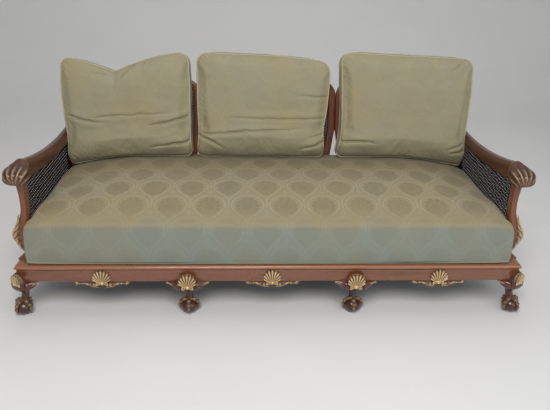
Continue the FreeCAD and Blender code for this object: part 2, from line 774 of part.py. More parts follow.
def cane_outline(name, centre, tuck):
    """A back panel's opening, made larger all round by tuck."""
    edge = size("stile_width") - tuck
    low = size("bottom_rail_low") + size("bottom_rail_height") - tuck
    straight = size("panel_width") / 2 - edge
    parted = straight - size("splay_gap")
    right = straight if name == "right" else parted
    left = straight if name == "left" else parted
    start = size("stile_top") + size("shoulder_start")
    splay = size("splay_top")
    edges = hoop_top_edges(centre, edge)
    corners = [vec(centre - straight, start, 0), vec(centre - straight, splay, 0),
               vec(centre - left, low, 0), vec(centre + right, low, 0),
               vec(centre + straight, splay, 0), vec(centre + straight, start, 0)]
    edges += [line_edge(a, b) for a, b in zip(corners, corners[1:])]
    return outline_face(edges)


def net_face(outline, sight, columns, rows, strand):
    """A flat net: the outline with a grid of square gaps wherever one fits in sight."""
    box = sight.BoundBox
    pitch_x = box.XLength / columns
    pitch_y = box.YLength / rows
    gaps = []
    for i in range(columns):
        for j in range(rows):
            x0 = box.XMin + pitch_x * i + strand / 2
            y0 = box.YMin + pitch_y * j + strand / 2
            x1 = x0 + pitch_x - strand
            y1 = y0 + pitch_y - strand
            corners = [vec(x0, y0, 0), vec(x1, y0, 0), vec(x1, y1, 0), vec(x0, y1, 0)]
            if all(sight.isInside(corner, 0.01, True) for corner in corners):
                gaps.append(Part.makePolygon(corners + corners[:1]))
    return outline.cut(Part.makeCompound([Part.Face(gap) for gap in gaps])).Faces[0]


def add_back_cane():
    """Cane panels let into the hoops, and the grooves that hold them."""
    thickness = size("cane_thickness")
    clearance = size("cane_clearance")
    middle = -size("back_thickness") / 2
    grooves = []
    for name, centre in panel_centres():
        groove = cane_outline(name, centre, size("cane_tuck"))
        groove.translate(vec(0, 0, middle - thickness / 2 - clearance))
        prism = groove.extrude(vec(0, 0, thickness + 2 * clearance))
        prism.Placement = lean_placement().multiply(prism.Placement)
        grooves.append(prism)
        outline = cane_outline(name, centre, size("cane_tuck") - clearance)
        sight = cane_outline(name, centre, 0)
        net = net_face(outline, sight, int(size("cane_columns")), int(size("cane_rows")),
                       size("cane_strand"))
        net.translate(vec(0, 0, middle - thickness / 2))
        panel = net.extrude(vec(0, 0, thickness))
        panel.Placement = lean_placement().multiply(panel.Placement)
        add_shape("back_cane_" + name, panel)
    return add_tool("cane_grooves", Part.makeCompound(grooves))


def behind_back(clearance=0.0):
    """Everything behind the front face of the back, as a cutting tool."""
    reach = size("rail_length")
    tool = Part.makeBox(2 * reach, 2 * reach, reach, vec(-reach, -reach / 4, -reach + clearance))
    tool.Placement = lean_placement()
    below = Part.makeBox(2 * reach, reach, rail_top(), vec(-reach, size("frame_depth") - clearance, 0))
    return tool.fuse(below)


# Arms

def arm_line(depth):
    """Height of the arm rail's top at a depth, falling to the rear post."""
    front = size("knuckle_setback") + size("knuckle_height") / 2
    back = size("frame_depth") + 60
    share = (depth - front) / (back - front)
    drop = size("arm_front_height") - size("arm_back_height")
    sag = 4 * size("arm_sag") * share * (1 - share)
    return size("arm_front_height") - drop * share - sag


def arm_depth(depth):
    """Height of the arm rail's section at a depth."""
    front = size("knuckle_setback") + size("knuckle_height") / 2
    back = size("frame_depth") + 60
    share = min(1.0, max(0.0, (depth - front) / (back - front)))
    thin = size("arm_back_depth")
    return thin + (size("arm_front_depth") - thin) * (1 - share) ** 2


def arm_rail_solid():
    """Right arm rail with the rounded form of its terminal."""
    middle = size("arm_spacing") / 2
    half = size("arm_width") / 2
    front = size("knuckle_setback") + size("knuckle_height") / 2
    back = size("frame_depth") + 90
    stations = 7
    rings = []
    for i in range(stations + 1):
        depth = front + (back - front) * i / stations
        top = arm_line(depth)
        tall = arm_depth(depth)
        rings.append(upright_section(middle, depth, top - tall / 2, half, tall / 2, size("arm_width") * 0.2))
    rail = carved_solid(rings)
    wide = size("knuckle_width") / 2
    tall = size("knuckle_height") / 2
    centre = size("arm_front_height") - size("arm_front_depth") / 2 + 8
    setback = size("knuckle_setback")
    shape = (
        # place along the terminal, width, height and corner, as shares
        (1.6, 0.44, 0.84, 0.16),
        (0.75, 0.8, 0.93, 0.3),
        (0.2, 0.97, 0.97, 0.5),
        (-0.45, 0.92, 0.86, 0.46),
        (-0.82, 0.7, 0.6, 0.3),
        (-1.0, 0.4, 0.32, 0.14),
    )
    rings = [upright_section(middle, setback + tall * place, centre - 6 * abs(place), wide * w,
                             tall * t, tall * corner) for place, w, t, corner in shape]
    return fused([rail, carved_solid(rings)])


POST_CURVE = (
    # share of the post's height, outer face beyond the arm's middle line, width, forward shift
    (0.0, 51, 58, 4),
    (0.08, 21, 34, 0),
    (0.19, 37, 42, 2),
    (0.30, 50, 50, 4),
    (0.43, 35, 42, 0),
    (0.57, 16, 28, -7),
    (0.75, 12, 26, -9),
    (0.92, 15, 34, -3),
    (1.0, 20, 44, 4),
)


def post_sections(grow=0.0):
    """Level sections of the right arm post, which curves out at its knee."""
    middle = size("arm_spacing") / 2
    low = rail_top()
    high = size("arm_front_height") - size("arm_front_depth") + 16
    setback = size("post_setback")
    half_depth = size("post_depth") / 2
    rings = []
    for share, outer, width, forward in POST_CURVE:
        cx = middle + outer - width / 2
        cy = setback + half_depth - forward
        z = low + (high - low) * share
        rings.append(section(cx, cy, z, width / 2 + grow, half_depth + abs(forward) * 0.3 + grow,
                             size("post_depth") * 0.2))
    return rings


def side_cane_face(tuck):
    """The side panel's opening in the YZ plane, larger all round by tuck."""
    middle = size("arm_spacing") / 2
    front = size("post_setback") + size("post_depth") + 8 - tuck
    low = rail_top() + size("side_bar_height") - tuck
    steps = 4
    back = size("frame_depth")
    rake = math.tan(math.radians(size("back_rake")))
    gap = size("cane_clearance")
    points = [vec(middle, front, low), vec(middle, back + (low - rail_top()) * rake - gap, low)]
    top_depth = back + 50
    rear_high = arm_line(top_depth) - arm_depth(top_depth) + tuck
    points.append(vec(middle, back + (rear_high - rail_top()) * rake - gap, rear_high))
    for i in range(1, steps + 1):
        depth = top_depth + (front - top_depth) * i / steps
        points.append(vec(middle, depth, arm_line(depth) - arm_depth(depth) + tuck))
    return polygon_face(points)


def add_sides():
    """Arm posts, arm rails, side bars and the cane between them."""
    thickness = size("cane_thickness")
    clearance = size("cane_clearance")
    tuck = size("cane_tuck")
    rear = behind_back()
    arm = arm_rail_solid().cut(rear)
    middle = size("arm_spacing") / 2
    bar_start = size("post_setback") + size("post_depth") * 0.6
    bar = Part.makeBox(size("side_bar_width"), size("frame_depth"), size("side_bar_height"),
                       vec(middle - size("side_bar_width") / 2, bar_start, rail_top()))
    bar = bar.cut(rear)
    post = carved_solid(post_sections()).cut(arm).cut(bar)
    groove = side_cane_face(tuck).extrude(vec(thickness + 2 * clearance, 0, 0))
    groove.translate(vec(-thickness / 2 - clearance, 0, 0))
    flat = side_cane_face(tuck - clearance)
    sight = side_cane_face(0)
    to_flat = FreeCAD.Rotation(vec(0, 1, 0), vec(0, 0, 1), vec(1, 0, 0)).inverted()
    turn = FreeCAD.Placement(vec(0, 0, 0), to_flat)
    flat = flat.transformed(turn.toMatrix())
    sight = sight.transformed(turn.toMatrix())
    flat.translate(vec(0, 0, -middle))
    sight.translate(vec(0, 0, -middle))
    net = net_face(flat, sight, int(size("cane_columns")), int(size("side_cane_rows")),
                   size("cane_strand"))
    net.translate(vec(0, 0, middle - thickness / 2))
    net = net.transformed(turn.inverse().toMatrix()).extrude(vec(thickness, 0, 0))
    pieces = (
        ("arm_rail", arm.cut(groove)),
        ("arm_post", post.cut(groove)),
        ("side_bar", bar.cut(groove)),
        ("side_cane", net),
        ("arm_leaf", arm_leaf()),
    )
    for label, shape in pieces:
        right = add_shape(label + "_right", shape)
        add_mirror(label + "_left", right)


LEAF_CURVE = (
    # share of the post's height, post's outer face beyond the arm's middle line, half width
    (0.19, 37, 6),
    (0.30, 50, 16),
    (0.43, 35, 9),
    (0.52, 22.8, 2),
)


def arm_leaf():
    """A carved leaf laid over the outer face of the post's knee."""
    middle = size("arm_spacing") / 2
    low = rail_top()
    high = size("arm_front_height") - size("arm_front_depth") + 16
    thick = size("leaf_thickness")
    cy = size("post_setback") + size("post_depth") / 2 - 3
    rings = []
    for share, outer, half in LEAF_CURVE:
        x = middle + outer
        z = low + (high - low) * share
        rings.append([vec(x, cy - half, z), vec(x, cy + half, z),
                      vec(x + thick, cy + half * 0.6, z), vec(x + thick, cy - half * 0.6, z)])
    return carved_solid(rings)


# Upholstery

def add_seat_support():
    """Interlaced webbing over the rails and the bottoming cloth under them."""
    wide = size("strap_width")
    thick = size("strap_thickness")
    pitch = size("strap_pitch")
    top = rail_top()
    half = size("rail_length") / 2 - size("side_rail_inset")
    back = size("frame_depth")
    overlap = size("rail_thickness") * 0.6
    straps = []
    count = int((2 * half - wide) / pitch)
    for i in range(count + 1):
        x = (i - count / 2) * pitch
        straps.append(Part.makeBox(wide, back, thick,
                                   vec(x - wide / 2, size("rail_thickness") - overlap, top)))
    rows = int((back - size("rail_thickness") - wide) / pitch)
    first = (size("rail_thickness") + back) / 2 - rows / 2 * pitch
    for j in range(rows + 1):
        y = first + j * pitch
        straps.append(Part.makeBox(2 * (half + 8), wide, thick,
                                   vec(-half - 8, y - wide / 2, top + thick)))
    add_shape("seat_webbing", Part.makeCompound(straps))
    gap = size("cane_clearance")
    low = size("rail_underside") + size("cross_rail_lift") - gap - size("bottoming_thickness")
    cloth = Part.makeBox(2 * (half - gap), back - size("rail_thickness") - 2 * gap,
                         size("bottoming_thickness"),
                         vec(gap - half, size("rail_thickness") + gap, low))
    add_shape("bottoming_cloth", cloth)


def seat_solid():
    """The fixed seat: a crown across its width and one along its depth, meeting at hips."""
    low = rail_top() + 2 * size("strap_thickness") + size("cane_clearance")
    half = size("seat_width") / 2
    bulge = size("seat_bulge")
    edge = size("seat_front_height")
    crown = size("seat_crown_height")
    rear = size("seat_rear_height")
    front = size("seat_setback")
    back = size("frame_depth") + 80
    flat = half - 230
    shoulder = crown - 16
    mid = (low + edge) / 2
    across = [
        line_edge(vec(-half, 0, low), vec(half, 0, low)),
        arc_edge(vec(half, 0, low), vec(half + bulge, 0, mid), vec(half, 0, edge - 8)),
        arc_edge(vec(half, 0, edge - 8), vec(half - 92, 0, shoulder - 12), vec(flat, 0, shoulder)),
        arc_edge(vec(flat, 0, shoulder), vec(0, 0, crown + 3), vec(-flat, 0, shoulder)),
        arc_edge(vec(-flat, 0, shoulder), vec(92 - half, 0, shoulder - 12), vec(-half, 0, edge - 8)),
        arc_edge(vec(-half, 0, edge - 8), vec(-half - bulge, 0, mid), vec(-half, 0, low)),
    ]
    wide = outline_face(across).extrude(vec(0, back, 0))
    reach = half + 2 * bulge
    along = [
        line_edge(vec(-reach, back, low), vec(-reach, front, low)),
        arc_edge(vec(-reach, front, low), vec(-reach, front - bulge, mid), vec(-reach, front, edge)),
        arc_edge(vec(-reach, front, edge), vec(-reach, front + 60, crown - 24),
                 vec(-reach, front + 190, crown)),
        arc_edge(vec(-reach, front + 190, crown), vec(-reach, front + 400, crown + 3),
                 vec(-reach, front + 540, crown - 6)),
        line_edge(vec(-reach, front + 540, crown - 6), vec(-reach, back, rear)),
        line_edge(vec(-reach, back, rear), vec(-reach, back, low)),
    ]
    deep = outline_face(along).extrude(vec(2 * reach, 0, 0))
    return wide.common(deep)


def add_seat():
    """Seat cut to clear the arm posts and side cane, and butted to the back."""
    seat = seat_solid()
    inner = size("seat_back_width") / 2
    lap = size("seat_setback") + size("seat_lap")
    reach = size("rail_length")
    for _, side in SIDES:
        start = inner if side == RIGHT else -inner - reach
        trim = Part.makeBox(reach, reach, reach, vec(start, lap, 0))
        seat = seat.cut(trim)
    post = carved_solid(post_sections(grow=size("cloth_clearance")))
    other = post.mirror(vec(0, 0, 0), ACROSS)
    seat = seat.cut(post).cut(other).cut(behind_back(size("cloth_clearance")))
    add_shape("seat_cushion", seat)


def cushion_ring(plan, inset, waist, level):
    """A cushion's outline, drawn in between its corners and slumped along its top."""
    share = max(0.0, 1 - inset / 160)
    half = plan["width"] / 2 - inset
    low = inset
    high = size("cushion_height") - inset
    round_by = size("cushion_corner") * share + 6
    left_high = high - plan["left_drop"] * share
    right_high = high - plan["right_drop"] * share
    slump = vec(plan["dip_place"] * half, high - plan["dip"] * share, level)
    corners = [
        vec(-half, low, level), vec(half, low, level), vec(half, right_high - round_by, level),
        vec(half - round_by, right_high, level), slump, vec(round_by - half, left_high, level),
        vec(-half, left_high - round_by, level),
    ]
    bow = round_by * 0.29
    bends = [
        vec(0, low + waist, level),
        vec(half - waist, (low + right_high) / 2, level),
        vec(half - bow, right_high - bow, level),
        (corners[3] + slump) * 0.5 + vec(0, plan["dip"] * 0.24, 0),
        (corners[5] + slump) * 0.5 + vec(0, plan["dip"] * 0.08, 0),
        vec(bow - half, left_high - bow, level),
        vec(waist - half, (low + left_high) / 2, level),
    ]
    steps = (6, 6, 4, 6, 6, 4, 6)
    ring = []
    for start, bend, end, count in zip(corners, bends, corners[1:] + corners[:1], steps):
        ring += arc_edge(start, bend, end).discretize(count + 1)[:-1]
    return ring


def cushion_solid(plan):
    """A loose cushion: a flat back, a border between two piped edges and a crowned front."""
    thick = size("cushion_thickness")
    border = size("cushion_border")
    waist = size("cushion_waist")
    seam = (thick - border) * 0.42
    front = seam + border
    crown = thick - front
    levels = (
        (0, 40, waist * 0.3),
        (seam, 0, waist),
        (seam + border * 0.5, 5, waist * 1.2),
        (front, 0, waist),
        (front + crown * 0.5, 26, waist * 0.8),
        (front + crown * 0.85, 74, waist * 0.4),
        (thick, 140, waist * 0.2),
    )
    return carved_solid([cushion_ring(plan, inset, draw, level) for level, inset, draw in levels])


def cushion_plans():
    """Place, width and slump of each back cushion."""
    dip = size("cushion_dip")
    return {
        "left": {"centre": size("left_cushion_centre"), "width": size("left_cushion_width"),
                 "dip": size("left_cushion_dip"), "dip_place": -0.22,
                 "left_drop": size("left_cushion_drop"), "right_drop": 0},
        "middle": {"centre": size("middle_cushion_centre"), "width": size("middle_cushion_width"),
                   "dip": dip, "dip_place": 0.1,
                   "left_drop": 0, "right_drop": size("middle_cushion_drop")},
        "right": {"centre": size("right_cushion_centre"), "width": size("right_cushion_width"),
                  "dip": dip, "dip_place": 0.1,
                  "left_drop": 0, "right_drop": size("right_cushion_drop")},
    }


def add_back_cushions():
    """Three loose cushions that lean on the hooped back and stand on the seat."""
    for name, plan in cushion_plans().items():
        cushion = cushion_solid(plan)
        cushion.translate(vec(plan["centre"], size("cushion_lift"), size("cloth_clearance")))
        cushion.Placement = lean_placement().multiply(cushion.Placement)
        add_shape("back_cushion_" + name, cushion)


def check_and_write():
    """Stop on any failed object, then write each sub-part to its own file."""
    doc.recompute()
    for obj in doc.Objects:
        bad = [word for word in obj.State if word in ("Invalid", "Error")]
        if bad:
            raise RuntimeError("%s is %s" % (obj.Label, bad))
    os.makedirs("parts", exist_ok=True)
    for obj in subparts:
        shape = obj.Shape
        if shape.isNull() or not shape.isValid() or not shape.Solids:
            raise RuntimeError("%s has no valid solid" % obj.Label)
        shape.exportStep("parts/%s.step" % obj.Label)
        print("%-26s %2d solids %9.0f mm3" % (obj.Label, len(shape.Solids), shape.Volume))


def build():
    fill_sheet()
    add_front_rail()
    add_side_rails()
    add_back_rail()
    add_cross_rails()
    add_corner_blocks()
    add_front_legs()
    add_aprons()
    grooves = add_back_cane()
    add_rear_posts(grooves)
    add_rear_middle_legs()
    add_back_bottom_rail(grooves)
    add_inner_stiles(grooves)
    add_crest_rails(grooves)
    add_sides()
    add_seat_support()
    add_seat()
    add_back_cushions()
    check_and_write()


build()
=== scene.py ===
"""Looks of a cabriole sofa with a hooped cane back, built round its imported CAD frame.

Lengths are metres in the row frame: X runs along the sofa, Y to the back and Z up, with the
origin on the floor. The back's own drawing is flat and stood up by Layout.lean.
"""

import logging
import math
from dataclasses import dataclass, field
from enum import Enum
from typing import Callable, Optional, Sequence

import bpy
import numpy as np
from mathutils import Matrix, Vector, noise


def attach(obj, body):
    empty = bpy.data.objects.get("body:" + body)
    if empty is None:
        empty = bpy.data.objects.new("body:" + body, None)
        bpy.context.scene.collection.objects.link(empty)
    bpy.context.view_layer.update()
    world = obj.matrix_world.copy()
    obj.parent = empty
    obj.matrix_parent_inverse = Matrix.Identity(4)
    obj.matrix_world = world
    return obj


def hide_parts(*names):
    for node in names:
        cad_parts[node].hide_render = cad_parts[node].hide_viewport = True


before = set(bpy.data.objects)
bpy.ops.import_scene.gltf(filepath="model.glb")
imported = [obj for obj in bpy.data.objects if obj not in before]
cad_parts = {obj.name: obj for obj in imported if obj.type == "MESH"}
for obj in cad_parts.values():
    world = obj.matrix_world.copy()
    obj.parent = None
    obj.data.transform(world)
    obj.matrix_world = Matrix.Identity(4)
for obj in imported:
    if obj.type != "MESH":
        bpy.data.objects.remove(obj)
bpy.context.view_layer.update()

LOG = logging.getLogger("cabriole_sofa")
Points = list[Vector]
Colour = tuple[float, float, float]
SHARP_ANGLE = math.radians(40.0)


class Side(Enum):
    """Which end of the sofa a piece is at, as the sign of its X."""

    LEFT = -1
    RIGHT = 1

    @property
    def word(self) -> str:
        """The side's name in lower case."""
        return self.name.lower()


class Grain(Enum):
    """Row axis that a board's grain runs along."""

    ALONG = (0.05, 1.0, 1.0)
    DEEP = (1.0, 0.05, 1.0)
    UP = (1.0, 1.0, 0.05)


@dataclass(frozen=True)
class Layout:
    """Places that several sub-assemblies share."""

    rail_face: float = -0.385
    rail_half: float = 0.939
    rail_low: float = 0.151
    rail_top: float = 0.217
    side_taper: float = 0.015
    back_face: float = 0.257
    rake: float = math.radians(13.3)
    back_thickness: float = 0.028
    panel: float = 0.611
    stile: float = 0.034
    leg_station: float = 0.3167
    arm_middle: float = 0.897

    def lean(self, x: float, along: float, out: float = 0.0) -> Vector:
        """Stand a point of the back's flat drawing up along its lean.

        Args:
            x: Place along the sofa.
            along: Height above the seat rails, measured along the lean.
            out: Distance in front of the back's front face.

        Returns:
            The point in the row frame.
        """
        sine, cosine = math.sin(self.rake), math.cos(self.rake)
        return Vector((x, self.back_face + along * sine - out * cosine,
                       self.rail_top + along * cosine + out * sine))


LAYOUT = Layout()


# Mesh building

@dataclass
class MeshParts:
    """Points and faces of a piece, with per-point masks for its finish."""

    points: Points = field(default_factory=list)
    faces: list[tuple[int, ...]] = field(default_factory=list)
    masks: dict[str, list[float]] = field(default_factory=dict)

    def mask(self, name: str, values: Sequence[float]) -> "MeshParts":
        """Set one mask for every point."""
        self.masks[name] = list(values)
        return self

    def fill_mask(self, name: str, value: float) -> "MeshParts":
        """Set one mask to the same value everywhere."""
        return self.mask(name, [value] * len(self.points))

    def coat(self, gilt: float = 0.0, recess: float = 0.0) -> "MeshParts":
        """Set both masks of carved work to one value each."""
        return self.fill_mask("gilt", gilt).fill_mask("recess", recess)

    def join(self, other: "MeshParts") -> "MeshParts":
        """Take in another piece's points and faces.

        Args:
            other: The piece that is added.

        Returns:
            This piece.
        """
        start = len(self.points)
        for name in sorted(set(self.masks) | set(other.masks)):
            mine = self.masks.get(name, [0.0] * start)
            self.masks[name] = mine + other.masks.get(name, [0.0] * len(other.points))
        self.points += other.points
        self.faces += [tuple(i + start for i in face) for face in other.faces]
        return self

    def moved(self, change: Callable[[Vector], Vector], flip: bool = False) -> "MeshParts":
        """A copy with every point changed.

        Args:
            change: Gives a point's new place.
            flip: Turn the faces over, for a mirrored copy.

        Returns:
            The changed copy.
        """
        faces = [tuple(reversed(f)) for f in self.faces] if flip else list(self.faces)
        copy = MeshParts([change(p) for p in self.points], faces)
        copy.masks = {name: list(values) for name, values in self.masks.items()}
        return copy

    def mirrored(self, side: Side) -> "MeshParts":
        """This piece for that end, where it was drawn for the right one."""
        if side is Side.RIGHT:
            return self
        return self.moved(lambda p: Vector((-p.x, p.y, p.z)), flip=True)

    def placed(self, matrix: Matrix) -> "MeshParts":
        """A copy moved by a matrix."""
        return self.moved(lambda p: matrix @ p)


def skin(rings: Sequence[Points], cap_start: bool = True, cap_end: bool = True,
         closed: bool = True) -> MeshParts:
    """Join rings of the same number of points with quads.

    Args:
        rings: The rings, in order.
        cap_start: Close the first ring with one face.
        cap_end: Close the last ring with one face.
        closed: Whether each ring is a loop.

    Returns:
        The skinned piece.
    """
    count = len(rings[0])
    parts = MeshParts([p for ring in rings for p in ring])
    spans = count if closed else count - 1
    for row in range(len(rings) - 1):
        for i in range(spans):
            j = (i + 1) % count
            low, high = row * count, (row + 1) * count
            parts.faces.append((low + i, low + j, high + j, high + i))
    if cap_start:
        parts.faces.append(tuple(reversed(range(count))))
    if cap_end:
        parts.faces.append(tuple(range((len(rings) - 1) * count, len(rings) * count)))
    return parts


def oval(centre: Vector, first: Vector, second: Vector, power: float = 2.6, count: int = 24) -> Points:
    """A rounded section spanned by two half-axes.

    Args:
        centre: Middle of the section.
        first: Half-axis where the ring starts.
        second: The other half-axis.
        power: 2 is an ellipse, and more is squarer.
        count: Number of points.

    Returns:
        The ring's points.
    """
    ring = []
    for i in range(count):
        angle = math.tau * i / count
        c, s = math.cos(angle), math.sin(angle)
        a = math.copysign(abs(c) ** (2 / power), c)
        b = math.copysign(abs(s) ** (2 / power), s)
        ring.append(centre + first * a + second * b)
    return ring


def smooth_rows(rows: Sequence[Sequence[float]], per_span: int) -> list[list[float]]:
    """Rows of a table with more drawn smoothly between them.

    Args:
        rows: The table's own rows.
        per_span: Steps from one row to the next.

    Returns:
        The finer table, which passes through the given rows.
    """
    table = np.array(rows, float)
    table = np.vstack([2 * table[0] - table[1], table, 2 * table[-1] - table[-2]])
    fine = []
    for i in range(1, len(table) - 2):
        a, b, c, d = table[i - 1:i + 3]
        for step in range(per_span):
            t = step / per_span
            fine.append(list(0.5 * (2 * b + (c - a) * t + (2 * a - 5 * b + 4 * c - d) * t * t
                                    + (3 * b - a - 3 * c + d) * t ** 3)))
    fine.append(list(table[-2]))
    return fine


def tube(path: Points, radii: Sequence[float], sides: int = 8, closed: bool = False) -> MeshParts:
    """A round rod of changing radius along a path.

    Args:
        path: Centre points.
        radii: Radius at each point.
        sides: Points round the rod.
        closed: Whether the path is a loop.

    Returns:
        The rod.
    """
    count = len(path)
    rings = []
    normal = None
    for i, point in enumerate(path):
        after = path[(i + 1) % count] if closed or i + 1 < count else point
        before = path[i - 1] if closed or i > 0 else point
        ahead = (after - before).normalized()
        if normal is None:
            trial = Vector((0.0, 0.0, 1.0)) if abs(ahead.z) < 0.9 else Vector((1.0, 0.0, 0.0))
            normal = ahead.cross(trial).normalized()
        normal = (normal - ahead * normal.dot(ahead)).normalized()
        beside = ahead.cross(normal)
        rings.append(oval(point, normal * radii[i], beside * radii[i], 2.0, sides))
    if closed:
        best = min(range(sides), key=lambda k: (rings[-1][0] - rings[0][k]).length)
        first = rings[0][best:] + rings[0][:best]
        return skin(rings + [first], False, False)
    return skin(rings)


def spiral(centre: Vector, across: Vector, up: Vector, size: float, turns: float,
           start: float = 0.0, count: int = 22) -> Points:
    """Points of a carved volute that winds in to its centre.

    Args:
        centre: Eye of the volute.
        across: Unit vector of its plane.
        up: The other unit vector of its plane.
        size: Radius at its mouth.
        turns: Number of turns, negative to wind the other way.
        start: Angle of its mouth.
        count: Number of points.

    Returns:
        The points from the mouth to the eye.
    """
    points = []
    for i in range(count):
        share = i / (count - 1)
        angle = start + math.tau * turns * share
        reach = size * (1 - share) ** 0.9 + size * 0.06
        points.append(centre + across * (reach * math.cos(angle)) + up * (reach * math.sin(angle)))
    return points


def bump_curve(value: float, middle: float, width: float) -> float:
    """A smooth hill of height 1 round a middle value."""
    return math.exp(-((value - middle) / width) ** 2)


def ease(value: float, low: float, high: float) -> float:
    """0 below low, 1 above high and a smooth step between."""
    share = min(1.0, max(0.0, (value - low) / (high - low)))
    return share * share * (3 - 2 * share)


class Body(Enum):
    """CAD bodies that pieces ride on."""

    FRAME = "frame"
    CUSHION_LEFT = "cushion_left"
    CUSHION_MIDDLE = "cushion_middle"
    CUSHION_RIGHT = "cushion_right"


@dataclass(frozen=True)
class Dressing:
    """How one new piece stands in the model."""

    name: str
    slot: str
    replaces: tuple[str, ...] = ()
    body: Body = Body.FRAME
    levels: int = 0


def set_masks(mesh: bpy.types.Mesh, parts: MeshParts) -> None:
    """Write a piece's masks as float attributes.

    Args:
        mesh: The mesh made from the parts.
        parts: Its points and masks.
    """
    for name, values in parts.masks.items():
        attribute = mesh.attributes.new(name, "FLOAT", "POINT")
        attribute.data.foreach_set("value", np.array(values, np.float32))


def make_piece(parts: MeshParts, dressing: Dressing, material: bpy.types.Material) -> bpy.types.Object:
    """Turn parts into an object that rides on its body.

    Args:
        parts: Points, faces and masks.
        dressing: Name, slot, replaced nodes and body.
        material: The piece's finish.

    Returns:
        The finished object.
    """
    mesh = bpy.data.meshes.new(dressing.name)
    mesh.from_pydata([tuple(p) for p in parts.points], [], parts.faces)
    mesh.validate()
    set_masks(mesh, parts)
    mesh.polygons.foreach_set("use_smooth", [True] * len(mesh.polygons))
    if not dressing.levels:
        mesh.set_sharp_from_angle(angle=SHARP_ANGLE)
    mesh.materials.append(material)
    piece = bpy.data.objects.new(dressing.name, mesh)
    bpy.context.scene.collection.objects.link(piece)
    if dressing.levels:
        rounding = piece.modifiers.new("Rounding", "SUBSURF")
        rounding.levels = dressing.levels
        rounding.render_levels = dressing.levels
    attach(piece, dressing.body.value)
    if dressing.replaces:
        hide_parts(*dressing.replaces)
    LOG.info("%s: %d points on %s", dressing.name, len(parts.points), dressing.body.value)
    return piece


# Shader building

class Wiring:
    """Adds and links nodes in one shader tree."""

    def __init__(self, tree: bpy.types.NodeTree) -> None:
        """Keep the tree that nodes are added to."""
        self.tree = tree

    def add(self, kind: str, inputs: Optional[dict] = None, **settings: object) -> bpy.types.Node:
        """Add one node.

        Args:
            kind: Blender's node type.
            inputs: Socket name or index to a value or another socket.
            settings: Properties of the node.

        Returns:
            The node.
        """
        node = self.tree.nodes.new(kind)
        for name, value in settings.items():
            setattr(node, name, value)
        return self.feed(node, inputs or {})

    def feed(self, node: bpy.types.Node, inputs: dict) -> bpy.types.Node:
        """Link or set a node's inputs.

        Args:
            node: The node.
            inputs: Socket name or index to a value or another socket.

        Returns:
            The node.
        """
        for key, value in inputs.items():
            if isinstance(value, bpy.types.NodeSocket):
                self.tree.links.new(value, node.inputs[key])
            else:
                node.inputs[key].default_value = value
        return node

    def maths(self, operation: str, a: object, b: object = 0.0, c: object = 0.0) -> bpy.types.NodeSocket:
        """One Math node's result.

        Args:
            operation: Name of the operation.
            a: First number or socket.
            b: Second number or socket.
            c: Third number or socket.

        Returns:
            The value socket.
        """
        return self.add("ShaderNodeMath", {0: a, 1: b, 2: c}, operation=operation).outputs[0]

    def times(self, a: object, b: object) -> bpy.types.NodeSocket:
        """The product of two numbers or sockets."""
        return self.maths("MULTIPLY", a, b)

    def plus(self, a: object, b: object) -> bpy.types.NodeSocket:
        """The sum of two numbers or sockets."""
        return self.maths("ADD", a, b)

    def minus(self, a: object, b: object) -> bpy.types.NodeSocket:
        """The first number or socket less the second."""
        return self.maths("SUBTRACT", a, b)

    def length(self, a: object, b: object) -> bpy.types.NodeSocket:
        """Distance of a point from the origin of its plane."""
        return self.maths("SQRT", self.plus(self.maths("POWER", a, 2.0), self.maths("POWER", b, 2.0)))

    def step(self, value: object, low: float, high: float) -> bpy.types.NodeSocket:
        """0 at low and 1 at high, where high may be the lesser."""
        return self.add("ShaderNodeMapRange", {0: value, 1: low, 2: high}).outputs[0]

    def mask(self, name: str) -> bpy.types.NodeSocket:
        """A mask that the piece carries."""
        return self.add("ShaderNodeAttribute", attribute_name=name).outputs["Fac"]

    def ramp(self, factor: bpy.types.NodeSocket, stops: Sequence[tuple[float, Sequence[float]]]
             ) -> bpy.types.NodeSocket:
        """Colours along a factor.

        Args:
            factor: Place along the ramp.
            stops: Positions with their red, green and blue.

        Returns:
            The colour socket.
        """
        node = self.add("ShaderNodeValToRGB", {0: factor})
        elements = node.color_ramp.elements
        while len(elements) < len(stops):
            elements.new(0.5)
        for element, (place, colour) in zip(elements, stops):
            element.position = place
            element.color = (*colour, 1.0)
        return node.outputs[0]

    def blend(self, factor: object, a: object, b: object, kind: str = "MIX") -> bpy.types.NodeSocket:
        """Two colours mixed by a factor.

        Args:
            factor: Number or socket.
            a: Colour at 0.
            b: Colour at 1.
            kind: Blend type.

        Returns:
            The colour socket.
        """
        node = self.add("ShaderNodeMix", data_type="RGBA", blend_type=kind)
        colours = {6: a, 7: b}
        for key, value in colours.items():
            if not isinstance(value, bpy.types.NodeSocket):
                colours[key] = (*value[:3], 1.0)
        return self.feed(node, {0: factor, **colours}).outputs[2]

    def vector(self, operation: str, a: object, b: object = (0.0, 0.0, 0.0)) -> bpy.types.NodeSocket:
        """One Vector Math node's result.

        Args:
            operation: Name of the operation.
            a: First vector or socket.
            b: Second vector or socket.

        Returns:
            The vector socket.
        """
        return self.add("ShaderNodeVectorMath", {0: a, 1: b}, operation=operation).outputs[0]

    def noise(self, place: bpy.types.NodeSocket, scale: float, detail: float = 3.0,
              distortion: float = 0.0) -> bpy.types.NodeSocket:
        """Noise between 0 and 1.

        Args:
            place: Coordinates.
            scale: Waves per metre.
            detail: Octaves.
            distortion: How far the noise is pulled about.

        Returns:
            The factor socket.
        """
        node = self.add("ShaderNodeTexNoise", {"Vector": place, "Scale": scale, "Detail": detail,
                                               "Distortion": distortion})
        return node.outputs[0]

    def group(self, tree: bpy.types.NodeTree, inputs: dict) -> bpy.types.Node:
        """Place a node group.

        Args:
            tree: The group's tree.
            inputs: Values or sockets for its inputs.

        Returns:
            The group node.
        """
        return self.add("ShaderNodeGroup", inputs, node_tree=tree)


